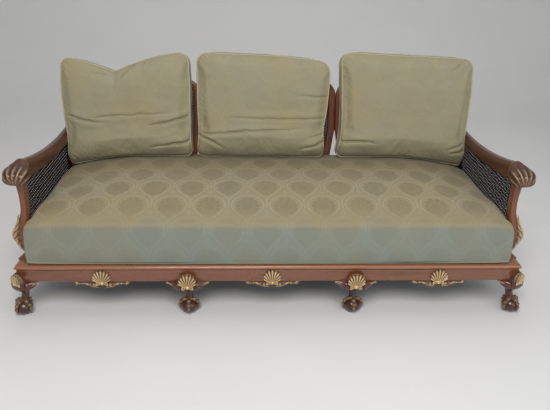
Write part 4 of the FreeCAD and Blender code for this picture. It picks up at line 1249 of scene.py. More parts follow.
    def build_leg(self, place: LegPlace, palette: Palette) -> None:
        """Make one leg with its shell and brackets.

        Args:
            place: The leg.
            palette: The sofa's finishes.
        """
        home = Vector((place.across, LAYOUT.rail_face + place.setback, 0.0))
        standing = Matrix.Translation(home) @ Matrix.Rotation(place.turn, 4, "Z")
        leg = self.shaft(place).join(self.ball())
        for toe in range(4):
            leg.join(self.talon(math.pi / 2 * toe))
        make_piece(leg.placed(standing), Dressing(
            "front_leg_%s" % place.name, "walnut", ("front_leg_" + place.name,), levels=1), palette.carved)
        shell = Scallop(width=place.shell_width, height=place.shell_width * self.shell_share).parts()
        offset = Vector((place.sway + place.shell_shift, -place.reach * 0.93, place.shell_low))
        shell = shell.moved(lambda p: p + offset)
        make_piece(shell.placed(standing), Dressing(
            "knee_shell_%s" % place.name, "gilt_carving", ("knee_shell_" + place.name,)), palette.carved)
        inner = 1 if place.across < 0 else -1
        wings = self.wing(inner, -place.setback, place).moved(lambda p: p + home)
        if place.turn == 0.0:
            wings = self.wing(-1, -place.setback, place).join(self.wing(1, -place.setback, place))
            wings = wings.moved(lambda p: p + home)
        else:
            side = self.wing(-inner, -0.005, place, gilt=0.0)
            quarter = Matrix.Rotation(-inner * math.pi / 2, 4, "Z")
            wings.join(side.placed(Matrix.Translation(home) @ quarter))
        make_piece(wings, Dressing("knee_brackets_%s" % place.name, "walnut",
                                   ("knee_brackets_" + place.name,)), palette.carved)

    def build(self, palette: Palette) -> None:
        """Make all four legs.

        Args:
            palette: The sofa's finishes.
        """
        for place in self.places():
            self.build_leg(place, palette)


@dataclass
class Aprons:
    """Shaped aprons under the front rail, with gilt scrolls and a shell over each."""

    half: float = 0.105
    thickness: float = 0.016
    shell_low: float = 0.141

    def outline(self, count: int = 61) -> list[tuple[float, float]]:
        """Lower edge of the apron.

        Args:
            count: Number of points.

        Returns:
            Distance from the apron's middle and drop below the rail.
        """
        rows = ((-1.0, 0.0066), (-0.8, 0.0112), (-0.62, 0.0080), (-0.5, 0.0125), (-0.36, 0.0230),
                (0.0, 0.0272), (0.36, 0.0230), (0.5, 0.0125), (0.62, 0.0080), (0.8, 0.0112), (1.0, 0.0066))
        places = [row[0] for row in rows]
        fine = smooth_rows(rows, 8)
        shares = np.linspace(places[0], places[-1], count)
        drops = np.interp(shares, [row[0] for row in fine], [row[1] for row in fine])
        return [(float(s) * self.half, float(d)) for s, d in zip(shares, drops)]

    def board(self) -> MeshParts:
        """The board itself, with its lower arris eased.

        Returns:
            The board, its face at the origin.
        """
        rings = []
        for depth, grow in ((0.0, -0.0012), (0.0012, 0.0), (self.thickness, 0.0)):
            top = [Vector((x, depth, 0.0)) for x, _ in reversed(self.outline())]
            low = [Vector((x, depth, -(d + grow))) for x, d in self.outline()]
            rings.append(low + top)
        # The recess mask also darkens the whole board
        return skin(rings).coat(recess=0.35)

    def scrolls(self) -> MeshParts:
        """Gilt carving along the lower edge: two S-scrolls, leaf tips and beads.

        Returns:
            The carving.
        """
        carving = MeshParts()
        for sign in (-1, 1):
            edge = [Vector((sign * x, -0.0012, -(d - 0.0018))) for x, d in self.outline() if x >= 0.012]
            run = edge[:-4]
            swell = [math.sin(math.pi * i / 3.0) ** 2 for i in range(len(run))]
            beads = tube(run, [0.0013 + 0.0013 * value for value in swell])
            # Painted shade between the beads, through the recess mask
            carving.join(beads.mask("recess", [0.95 * (1 - value) for value in swell for _ in range(8)]))
            for eye_x, eye_z, size, turns in ((0.093, -0.0075, 0.0060, 1.3), (0.055, -0.0085, 0.0052, -1.2),
                                              (0.030, -0.0165, 0.0056, 1.2)):
                path = spiral(Vector((sign * eye_x, -0.0022, eye_z)), Vector((sign, 0, 0)),
                              Vector((0, 0, 1)), size, turns, 0.4)
                rod = [0.0016 * (1 - 0.4 * i / 21) for i in range(22)]
                carving.join(tube(path, rod).fill_mask("recess", 0.05))
            for step in range(5):
                root = Vector((sign * (0.016 + 0.0125 * step), -0.0010, -0.006))
                tip = root + Vector((sign * 0.006, -0.0018, -0.0115 + 0.0012 * step))
                path = [root.lerp(tip, t) for t in (0.0, 0.3, 0.6, 0.85, 1.0)]
                carving.join(tube(path, [0.0008, 0.0018, 0.0021, 0.0014, 0.0004]).fill_mask("recess", 0.35))
        return carving.fill_mask("gilt", 0.95)

    def build(self, palette: Palette) -> None:
        """Make the three aprons and their shells.

        Args:
            palette: The sofa's finishes.
        """
        face = LAYOUT.rail_face
        for name, across in (("left", -2 * LAYOUT.leg_station), ("centre", 0.0),
                             ("right", 2 * LAYOUT.leg_station)):
            home = Vector((across, face + 0.002, LAYOUT.rail_low))
            apron = self.board().join(self.scrolls()).moved(lambda p, at=home: p + at)
            make_piece(apron, Dressing("apron_%s" % name, "carved_apron", ("apron_" + name,)),
                       palette.carved)
            hinge = Vector((across, face, self.shell_low))
            shell = Scallop(width=0.066).parts().moved(lambda p, at=hinge: p + at)
            make_piece(shell, Dressing("apron_shell_%s" % name, "gilt_carving", ("apron_shell_" + name,)),
                       palette.carved)


# The hooped back

@dataclass
class HoopedBack:
    """Three hoops of rounded section on one bottom rail, with rear legs in one with the outer stiles."""

    stile_top: float = 0.455
    shoulder: float = 0.072
    crest_rise: float = 0.006
    splay_top: float = 0.306
    splay_gap: float = 0.026
    rail_low: float = 0.110
    rail_height: float = 0.040
    leg_width: float = 0.045

    def hoop_line(self, index: int) -> list[tuple[float, float]]:
        """Middle line of one hoop from its left foot to its right foot.

        Args:
            index: -1, 0 or 1 for the left, centre and right hoop.

        Returns:
            Place along the sofa and along the lean.
        """
        centre = index * LAYOUT.panel
        half = LAYOUT.panel / 2 - LAYOUT.stile / 2
        radius = self.shoulder - LAYOUT.stile / 2
        foot = self.rail_low + self.rail_height * 0.8
        left_foot = half if index == -1 else half - self.splay_gap
        right_foot = half if index == 1 else half - self.splay_gap
        line = []
        for step in range(9):
            share = step / 8
            line.append((centre - left_foot - (half - left_foot) * share,
                         foot + (self.splay_top - foot) * share))
        for step in range(1, 7):
            line.append((centre - half, self.splay_top + (self.stile_top - self.splay_top) * step / 6))
        for step in range(1, 9):
            angle = math.pi - math.pi / 2 * step / 8
            line.append((centre - half + radius + radius * math.cos(angle),
                         self.stile_top + radius * math.sin(angle)))
        flank = half - radius
        for step in range(1, 16):
            share = step / 16
            line.append((centre - flank + 2 * flank * share,
                         self.stile_top + radius + self.crest_rise * math.sin(math.pi * share)))
        right = [(2 * centre - x, along) for x, along in line[:23]]
        if left_foot != right_foot:
            right[:9] = [(centre + right_foot + (half - right_foot) * s / 8,
                          foot + (self.splay_top - foot) * s / 8) for s in range(9)]
        return line + list(reversed(right))

    def hoop(self, index: int) -> MeshParts:
        """One hoop, swept with a rounded section.

        Args:
            index: -1, 0 or 1 for the left, centre and right hoop.

        Returns:
            The hoop.
        """
        line = self.hoop_line(index)
        half, thick = LAYOUT.stile / 2, LAYOUT.back_thickness / 2
        rings = []
        for i, (x, along) in enumerate(line):
            before, after = line[max(0, i - 1)], line[min(len(line) - 1, i + 1)]
            ahead = Vector((after[0] - before[0], after[1] - before[1]))
            ahead.normalize()
            beside = Vector((-ahead.y, ahead.x))
            ring = []
            for point in oval(Vector((0, 0, 0)), Vector((half, 0, 0)), Vector((0, thick, 0)), 3.6, 24):
                bead = 0.0012 * bump_curve(abs(point.x), half * 0.78, 0.002) if point.y > 0 else 0.0
                ring.append(LAYOUT.lean(x + beside.x * point.x, along + beside.y * point.x,
                                        point.y + bead - thick))
            rings.append(ring)
        return skin(rings)

    def rear_leg(self, side: Side) -> MeshParts:
        """The raked rear leg below an outer stile.

        Args:
            side: Which end of the sofa.

        Returns:
            The leg.
        """
        across = LAYOUT.panel * 1.5 - self.leg_width / 2
        face = LAYOUT.back_face
        narrow = LAYOUT.stile / self.leg_width
        shift = (self.leg_width - LAYOUT.stile) / 2
        rows = (
            (0.0, face + 0.058, face + 0.096, 1.0), (0.03, face + 0.0465, face + 0.0865, 1.0),
            (0.09, face + 0.0235, face + 0.0675, 1.0), (0.148, face + 0.001, face + 0.049, 1.0),
            (0.217, face, face + 0.048, 1.0), (0.240, face + 0.0054, face + 0.046, 0.9),
            (0.300, face + 0.0196, face + 0.0496, narrow), (0.38, face + 0.0386, face + 0.0670, narrow),
        )
        rings = []
        for z, front, rear, share in smooth_rows(rows, 3):
            moved = shift * (1 - share) / (1 - narrow)
            centre = Vector((across + moved, (front + rear) / 2, z))
            rings.append(oval(centre, Vector((self.leg_width / 2 * share, 0, 0)),
                              Vector((0, (rear - front) / 2, 0)), 5.0, 24))
        return skin(rings).mirrored(side)

    def bottom_rail(self) -> MeshParts:
        """The rail under the cane, between the outer stiles.

        Returns:
            The rail.
        """
        end = LAYOUT.panel * 1.5 - LAYOUT.stile * 0.8
        middle = self.rail_low + self.rail_height / 2
        rings = []
        for step in range(25):
            x = -end + 2 * end * step / 24
            ring = [LAYOUT.lean(x, middle + p.x, p.y - LAYOUT.back_thickness / 2) for p in oval(
                Vector((0, 0, 0)), Vector((self.rail_height / 2, 0, 0)),
                Vector((0, LAYOUT.back_thickness / 2, 0)), 4.5, 24)]
            rings.append(ring)
        return skin(rings)

    def build(self, palette: Palette) -> None:
        """Make the hoops, the rear legs and the bottom rail.

        Args:
            palette: The sofa's finishes.
        """
        left = self.hoop(-1).join(self.rear_leg(Side.LEFT))
        make_piece(left, Dressing("back_hoop_left", "walnut", (
            "crest_rail_left", "back_post_left", "back_stile_left_outer")), palette.upright)
        make_piece(self.hoop(0), Dressing("back_hoop_centre", "walnut", (
            "crest_rail_centre", "back_stile_left_inner", "back_stile_right_inner")), palette.upright)
        right = self.hoop(1).join(self.rear_leg(Side.RIGHT))
        make_piece(right, Dressing("back_hoop_right", "walnut", (
            "crest_rail_right", "back_post_right", "back_stile_right_outer")), palette.upright)
        make_piece(self.bottom_rail(), Dressing("back_bottom_rail", "walnut", ("back_bottom_rail",)),
                   palette.along)


@dataclass
class CaneWeave:
    """Six-way woven cane: paired uprights and courses with crossing diagonals."""

    pitch: float = 0.0135
    strand: float = 0.0034
    pair: float = 0.0023
    thick: float = 0.0009

    @staticmethod
    def clip(start: tuple[float, float], ahead: tuple[float, float],
             outline: Sequence[tuple[float, float]]) -> Optional[tuple[float, float]]:
        """Where a line crosses a convex outline.

        Args:
            start: A point on the line.
            ahead: The line's unit direction.
            outline: Corners of the outline, anticlockwise.

        Returns:
            The two distances along the line, or None where it misses.
        """
        low, high = -10.0, 10.0
        for (x0, y0), (x1, y1) in zip(outline, list(outline[1:]) + [outline[0]]):
            nx, ny = y0 - y1, x1 - x0
            reach = (start[0] - x0) * nx + (start[1] - y0) * ny
            rate = ahead[0] * nx + ahead[1] * ny
            if abs(rate) < 1e-12:
                if reach < 0:
                    return None
                continue
            meet = -reach / rate
            if rate > 0:
                low = max(low, meet)
            else:
                high = min(high, meet)
        return (low, high) if high - low > 0.004 else None

    def strip(self, start: tuple[float, float], ahead: tuple[float, float], span: tuple[float, float],
              level: float, sway: float, phase: float, place: Callable[[float, float, float], Vector]
              ) -> MeshParts:
        """One strand of cane.

        Args:
            start: A point on its line.
            ahead: Its unit direction.
            span: Where it starts and ends along the line.
            level: Its height above the middle of the weave.
            sway: How far it rises and falls over its neighbours.
            phase: Where its rise starts, in pitches.
            place: Gives the point in the row frame.

        Returns:
            The strand.
        """
        low, high = span
        steps = max(1, int((high - low) / self.pitch * 2)) if sway else 1
        beside = (-ahead[1], ahead[0])
        half = self.strand / 2
        rings = []
        for i in range(steps + 1):
            along = low + (high - low) * i / steps
            x, y = start[0] + ahead[0] * along, start[1] + ahead[1] * along
            z = level + sway * math.cos(math.pi * (along / self.pitch + phase))
            rings.append([
                place(x - beside[0] * half, y - beside[1] * half, z - self.thick * 0.4),
                place(x + beside[0] * half, y + beside[1] * half, z - self.thick * 0.4),
                place(x, y, z + self.thick * 0.6)])
        return skin(rings)

    def panel(self, outline: Sequence[tuple[float, float]],
              place: Callable[[float, float, float], Vector]) -> MeshParts:
        """A whole panel of cane.

        Args:
            outline: Corners of the convex outline, anticlockwise.
            place: Gives a point of the flat weave in the row frame.

        Returns:
            The panel.
        """
        parts = MeshParts()
        xs = [p[0] for p in outline]
        ys = [p[1] for p in outline]
        runs = []
        for i in range(int((max(xs) - min(xs)) / self.pitch) + 1):
            x = min(xs) + self.pitch * i
            for off in (-self.pair, self.pair):
                runs.append(((x + off, min(ys)), (0.0, 1.0), 0.0, 0.0, 0.0))
        for j in range(int((max(ys) - min(ys)) / self.pitch) + 1):
            y = min(ys) + self.pitch * j
            for off in (-self.pair, self.pair):
                runs.append(((min(xs), y + off), (1.0, 0.0), 0.0, self.thick, j % 2))
        diagonal = math.sqrt(0.5)
        reach = (max(xs) - min(xs)) + (max(ys) - min(ys))
        for k in range(int(reach / self.pitch) + 1):
            low = min(xs) - (max(ys) - min(ys)) + self.pitch * k
            runs.append(((low, min(ys)), (diagonal, diagonal), self.thick * 1.1, 0.0, 0.0))
            high = min(xs) + self.pitch * k
            runs.append(((high, min(ys)), (-diagonal, diagonal), -self.thick * 1.1, 0.0, 0.0))
        for start, ahead, level, sway, phase in runs:
            span = self.clip(start, ahead, outline)
            if span:
                parts.join(self.strip(start, ahead, span, level, sway, phase, place))
        return parts


@dataclass
class CanePanels:
    """The cane of the three hoops and of the two sides."""

    weave: CaneWeave
    back: HoopedBack
    tuck: float = 0.007

    def back_outline(self, index: int) -> list[tuple[float, float]]:
        """Convex outline of one hoop's cane.

        Args:
            index: -1, 0 or 1 for the left, centre and right hoop.

        Returns:
            The corners, anticlockwise.
        """
        inward = LAYOUT.stile / 2 - self.tuck
        line = self.back.hoop_line(index)
        centre = index * LAYOUT.panel
        low = self.back.rail_low + self.back.rail_height - self.tuck
        corners = []
        for x, along in line:
            toward = -1 if x > centre else 1
            top = ease(along, self.back.stile_top, self.back.stile_top + self.back.shoulder * 0.7)
            corners.append((x + toward * inward * (1 - top * 0.6), along - inward * top))
        corners = [(x, max(low, along)) for x, along in corners]
        return list(reversed(corners))

    def build(self, palette: Palette) -> None:
        """Weave every panel.

        Args:
            palette: The sofa's finishes.
        """
        depth = -LAYOUT.back_thickness / 2
        for name, index in (("left", -1), ("centre", 0), ("right", 1)):
            panel = self.weave.panel(self.back_outline(index),
                                     lambda x, y, z: LAYOUT.lean(x, y, depth + z))
            make_piece(panel, Dressing("back_cane_%s" % name, "cane", ("back_cane_" + name,)),
                       palette.cane)
        face = LAYOUT.rail_face
        outline = [(face + 0.070, 0.240), (face + 0.662, 0.240), (face + 0.712, 0.480),
                   (face + 0.600, 0.492), (face + 0.078, 0.552)]
        for side in Side:
            panel = self.weave.panel(outline, lambda y, z, x: Vector((LAYOUT.arm_middle + x, y, z)))
            make_piece(panel.mirrored(side), Dressing("side_cane_%s" % side.word, "cane",
                                                      ("side_cane_" + side.word,)), palette.cane)


# Arms

@dataclass
class Arms:
    """Arm rails with carved terminals, on curved posts that carry a gilt leaf."""

    front_height: float = 0.601
    back_height: float = 0.523
    sag: float = 0.026
    front_depth: float = 0.078
    back_depth: float = 0.050
    half_width: float = 0.021
    ribs: int = 11
    post_setback: float = 0.069
    post_half: float = 0.019
    post_top: float = 0.545
    run_start: float = 0.086
    run_end: float = 0.702
    leaf_lobes: int = 6

    def top_line(self, setback: float) -> float:
        """Height of the arm's top at a distance behind the rail's face."""
        share = (setback - self.run_start) / (self.run_end - self.run_start)
        return (self.front_height - (self.front_height - self.back_height) * share
                - 4 * self.sag * share * (1 - share))

    def section_depth(self, setback: float) -> float:
        """Height of the arm's section at a distance behind the rail's face."""
        share = min(1.0, max(0.0, (setback - self.run_start) / (self.run_end - self.run_start)))
        return self.back_depth + (self.front_depth - self.back_depth) * (1 - share) ** 2

    def rail(self) -> MeshParts:
        """The right arm rail with its fluted terminal.

        Returns:
            The rail.
        """
        rows = []
        for step in range(23):
            setback = 0.740 - (0.740 - 0.118) * step / 22
            tall = self.section_depth(setback)
            rows.append((setback, self.top_line(setback) - tall / 2, self.half_width, tall / 2))
        rows += [(0.104, 0.5615, 0.0225, 0.0355), (0.092, 0.5600, 0.0290, 0.0342),
                 (0.080, 0.5588, 0.0372, 0.0334), (0.068, 0.5578, 0.0425, 0.0326),
                 (0.055, 0.5570, 0.0445, 0.0318), (0.042, 0.5562, 0.0443, 0.0304),
                 (0.029, 0.5556, 0.0415, 0.0278), (0.019, 0.5552, 0.0355, 0.0230),
                 (0.012, 0.5550, 0.0265, 0.0166), (0.0085, 0.5550, 0.0160, 0.0098),
                 (0.0072, 0.5550, 0.0050, 0.0032)]
        count = 96
        rings, recess, gilt = [], [], []
        for setback, z, wide, tall in smooth_rows(rows, 2):
            centre = Vector((LAYOUT.arm_middle, LAYOUT.rail_face + setback, z))
            carve = ease(0.088 - setback, 0.0, 0.040)
            ring = []
            for point in oval(centre, Vector((wide, 0, 0)), Vector((0, 0, tall)), 2.7, count):
                arm = point - centre
                angle = math.atan2(arm.x, arm.z + 0.042)
                rib = 0.5 + 0.5 * math.cos(angle * self.ribs * 2)
                fade = carve * ease(tall, 0.004, 0.020)
                ring.append(centre + arm * (1 + 0.085 * (rib - 0.75) * fade)
                            - Vector((0, 0.0030 * rib * fade, 0)))
                # Painted shade in the flutes of the terminal, through the recess mask
                recess.append((1 - rib ** 1.5) * fade)
                gilt.append(0.45 * ease(0.062 - setback, 0.0, 0.03) * rib ** 3)
            rings.append(ring)
        return skin(rings).mask("recess", recess).mask("gilt", gilt)

    def collar(self) -> MeshParts:
        """A raised bead behind the carved terminal.

        Returns:
            The bead.
        """
        setback = 0.112
        tall = self.section_depth(setback)
        centre = Vector((LAYOUT.arm_middle, LAYOUT.rail_face + setback, self.top_line(setback) - tall / 2))
        proud = 0.0006
        path = oval(centre, Vector((self.half_width + proud, 0, 0)),
                    Vector((0, 0, tall / 2 + proud)), 2.7, 40)
        bead = tube(path, [0.0022] * len(path), 8, closed=True)
        return bead.coat(gilt=0.2, recess=0.1)

    def post_rows(self) -> list[list[float]]:
        """Height, outer face, width and forward shift up the post.

        Returns:
            The smooth table.
        """
        rows = ((0.0, 0.0510, 0.058, 0.004), (0.04, 0.0360, 0.046, 0.002), (0.09, 0.0240, 0.036, 0.0),
                (0.19, 0.0365, 0.042, 0.002), (0.29, 0.0500, 0.050, 0.004), (0.36, 0.0460, 0.048, 0.003),
                (0.45, 0.0310, 0.039, 0.0), (0.57, 0.0165, 0.028, -0.007), (0.66, 0.0130, 0.0262, -0.009),
                (0.78, 0.0122, 0.0265, -0.008), (0.92, 0.0155, 0.034, -0.003), (1.0, 0.0205, 0.044, 0.004),
                (1.06, 0.0240, 0.050, 0.006))
        return smooth_rows(rows, 4)

    def post(self) -> MeshParts:
        """The right arm post.

        Returns:
            The post.
        """
        low = LAYOUT.rail_top
        rings = []
        for share, outer, width, forward in self.post_rows():
            centre = Vector((LAYOUT.arm_middle + outer - width / 2,
                             LAYOUT.rail_face + self.post_setback - forward,
                             low + (self.post_top - low) * share))
            rings.append(oval(centre, Vector((width / 2, 0, 0)),
                              Vector((0, self.post_half + abs(forward) * 0.3, 0)), 3.2, 28))
        return skin(rings)

    def leaf(self) -> MeshParts:
        """A gilt acanthus leaf that wraps the outer corner of the post's knee.

        Returns:
            The leaf.
        """
        table = np.array(self.post_rows())
        low = LAYOUT.rail_top
        rows, columns = 40, 25
        front_rings, recess = [], []
        for row in range(rows + 1):
            share = row / rows
            height = 0.12 + 0.44 * share
            outer = float(np.interp(height, table[:, 0], table[:, 1]))
            width = float(np.interp(height, table[:, 0], table[:, 2]))
            forward = float(np.interp(height, table[:, 0], table[:, 3]))
            lobe = 0.5 + 0.5 * math.cos(math.tau * self.leaf_lobes * (share ** 0.85))
            spread = math.sin(math.pi * min(1.0, share * 0.93 + 0.07)) ** 0.6 * (0.74 + 0.26 * lobe)
            ring = []
            for column in range(columns):
                place = -1 + 2 * column / (columns - 1)
                angle = -0.62 + 1.02 * spread * place
                c, s = math.cos(angle), math.sin(angle)
                depth = self.post_half + abs(forward) * 0.3
                x = LAYOUT.arm_middle + outer - width / 2 + width / 2 * math.copysign(abs(c) ** 0.62, c)
                y = LAYOUT.rail_face + self.post_setback - forward + depth * math.copysign(abs(s) ** 0.62, s)
                vein = abs(math.sin(math.pi * (self.leaf_lobes * share ** 0.85 - 1.2 * abs(place))))
                lift = 0.0016 + 0.0034 * (1 - abs(place) ** 1.5) * (0.5 + 0.5 * vein) * ease(spread, 0.0, 0.4)
                curl = 0.0045 * bump_curve(share, 0.97, 0.07)
                ring.append(Vector((x + c * (lift + curl), y + s * lift,
                                    low + (self.post_top - low) * height)))
                # Painted shade in the veins and toward the leaf's turned edges, through the recess mask
                recess.append(1.25 * (1 - vein) + 0.45 * abs(place) ** 3)
            front_rings.append(ring)
        parts = skin(front_rings, False, False, closed=False)
        parts.mask("recess", [min(1.0, r) for r in recess])
        rib_rows = [front_rings[i][columns // 2] for i in range(0, rows + 1, 2)]
        rib = tube(rib_rows, [0.0022 * math.sin(math.pi * (i + 0.6) / (len(rib_rows) + 0.2)) + 0.0004
                              for i in range(len(rib_rows))])
        return parts.join(rib.fill_mask("recess", 0.0)).fill_mask("gilt", 0.75)

    def build(self, palette: Palette) -> None:
        """Make both arms.

        Args:
            palette: The sofa's finishes.
        """
        rail, post, leaf = self.rail().join(self.collar()), self.post(), self.leaf()
        for side in Side:
            word = side.word
            make_piece(rail.mirrored(side), Dressing("arm_rail_%s" % word, "walnut", ("arm_rail_" + word,)),
                       palette.carved_arm)
            make_piece(post.mirrored(side), Dressing("arm_post_%s" % word, "walnut", ("arm_post_" + word,)),
                       palette.upright)
            make_piece(leaf.mirrored(side), Dressing("arm_leaf_%s" % word, "gilt_carving",
                                                     ("arm_leaf_" + word,)), palette.carved)


# Upholstery

def write_cloth(mesh: bpy.types.Mesh, values: np.ndarray) -> None:
    """Store each point's place on the flat cloth.

    Args:
        mesh: The upholstered mesh.
        values: One row of three numbers for each point.
    """
    attribute = mesh.attributes.new("cloth", "FLOAT_VECTOR", "POINT")
    attribute.data.foreach_set("vector", values.astype(np.float32).ravel())


@dataclass
class Seat:
    """The fixed seat: a deep front border under a broad crown, tight round its front edge."""

    half: float = 0.895
    inner_half: float = 0.884
    lap: float = 0.044
    front: float = -0.372
    back: float = 0.300
    low: float = 0.2205
    edge: float = 0.381
    crown: float = 0.430
    rest_height: float = 0.4296
    rest_depth: float = 0.538
    rest_slope: float = 0.2225
    columns: int = 150
    rounding: float = 0.016
    back_gap: float = 0.0012
    border_bulge: float = 0.005

    def top(self, x: float, y: float) -> float:
        """Height of the seat's crown at a place on its plan.

        Args:
            x: Place along the sofa.
            y: Place front to back.

        Returns:
            The height.
        """
        depth = y - self.front
        side = abs(x) / self.half
        rounded = self.edge + (self.crown - self.edge) * (2 * ease(depth, -0.26, 0.26) - 1)
        rounded += 0.004 * (1 - side ** 2) * ease(depth, 0.0, 0.3)
        sloped = self.rest_height - self.rest_slope * (depth - self.rest_depth)
        blend = 0.006
        level = rounded - blend * math.log1p(math.exp((rounded - sloped) / blend))
        fall = 0.047 * max(0.0, (side - 0.62) / 0.38) ** 1.6 * ease(depth, 0.0, 0.30)
        fall += 0.008 * ease(side, 0.90, 1.0)
        dip = 0.0035 * noise.noise(Vector((x * 3.1, y * 4.0, 1.7))) * (1 - ease(depth, 0.40, 0.52))
        return level - fall + dip

    def rows(self) -> list[tuple[float, float]]:
        """Stations from the front border's foot, over the edge and back across the top.

        Returns:
            Depth and share of the height reached.
        """
        stations = []
        for step in range(13):
            share = step / 12
            stations.append((self.front - self.border_bulge * math.sin(math.pi * share), share * 0.90))
        for step in range(1, 9):
            angle = math.pi / 2 * step / 8
            stations.append((self.front + self.rounding * (1 - math.cos(angle)),
                             0.90 + 0.10 * math.sin(angle)))
        top_start = self.front + self.rounding
        for step in range(1, 56):
            stations.append((top_start + (self.back - top_start) * (step / 55), 1.0))
        return stations

    def parts(self) -> tuple[MeshParts, np.ndarray]:
        """Build the closed seat.

        Returns:
            The seat and its cloth coordinates.
        """
        stations = self.rows()
        side_steps = 8
        rings, cloth = [], []
        length = 0.0
        last = None
        for depth, share in stations:
            lap_share = ease(depth - self.front, self.lap - 0.012, self.lap + 0.006)
            half = self.half + (self.inner_half - self.half) * lap_share
            middle_z = self.low + (self.top(0.0, depth) - self.low) * share
            here = Vector((0.0, depth, middle_z))
            length += (here - last).length if last is not None else 0.0
            last = here
            ring, texts = [], []
            for step in range(side_steps):
                rise = step / side_steps
                top = self.low + (self.top(half, depth) - self.low) * share
                z = self.low + (top - self.low) * rise * 0.94
                bulge = 0.004 * math.sin(math.pi * rise)
                ring.append(Vector((-half - bulge, depth, z)))
                texts.append((-half - (top - z), length, 0.0))
            for column in range(self.columns + 1):
                place = -1 + 2 * column / self.columns
                x = half * place
                z = self.low + (self.top(x, depth) - self.low) * share
                corner = max(0.0, 1 - (half - abs(x)) / 0.014)
                z -= 0.010 * corner ** 2 * min(1.0, (z - self.low) / 0.05)
                ring.append(Vector((x, depth, z)))
                texts.append((x, length, 0.0))
            for step in reversed(range(side_steps)):
                mirror = ring[step]
                ring.append(Vector((-mirror.x, mirror.y, mirror.z)))
                texts.append((-texts[step][0], length, 0.0))
            rings.append(ring)
            cloth += texts
        for ring in rings:
            for point in ring:
                behind = LAYOUT.back_face + (point.z - LAYOUT.rail_top) * math.tan(LAYOUT.rake)
                point.y = min(point.y, behind - self.back_gap)
        parts = skin(rings)
        # fade marks the border and ends for a painted cool reflection; shade marks the back of the top, under
        # the cushions, for painted shadow
        fade, shade, rubbed = [], [], []
        for (depth, share), ring in zip(stations, rings):
            border = 1 - ease(share, 0.88, 0.99)
            # front marks the top's front edge for a painted highlight that washes out the pattern
            front = (1 - ease(depth - self.front, 0.02, 0.10)) * (1 - border)
            for point in ring:
                end = ease(abs(point.x), self.half - 0.004, self.half)
                fade.append(max(border, 0.7 * end))
                shade.append(ease(depth - self.front, 0.25, 0.58) * (1 - end))
                rubbed.append(front)
        parts.mask("fade", fade).mask("shade", shade).mask("rubbed", rubbed)
        return parts, np.array(cloth)

    def build(self, palette: Palette) -> None:
        """Make the seat.

        Args:
            palette: The sofa's finishes.
        """
        parts, cloth = self.parts()
        seat = make_piece(parts, Dressing("seat", "seat_damask", ("seat_cushion",), levels=1),
                          palette.seat_damask)
        write_cloth(seat.data, cloth)


@dataclass(frozen=True)
class Fold:
    """A crease in a cushion's front, in shares of its width and height."""

    start: tuple[float, float]
    end: tuple[float, float]
    depth: float = 0.010
    width: float = 0.007
    bow: float = 0.0


@dataclass(frozen=True)
class CushionShape:
    """Sizes of one loose back cushion; its sides are given at five even heights, outward positive."""

    name: str
    body: Body
    centre: float
    width: float
    left_drop: float
    right_drop: float
    dip: float
    dip_place: float
    left_side: tuple[float, ...]
    right_side: tuple[float, ...]
    left_sag: float
    right_sag: float
    folds: tuple[Fold, ...]
    seed: int


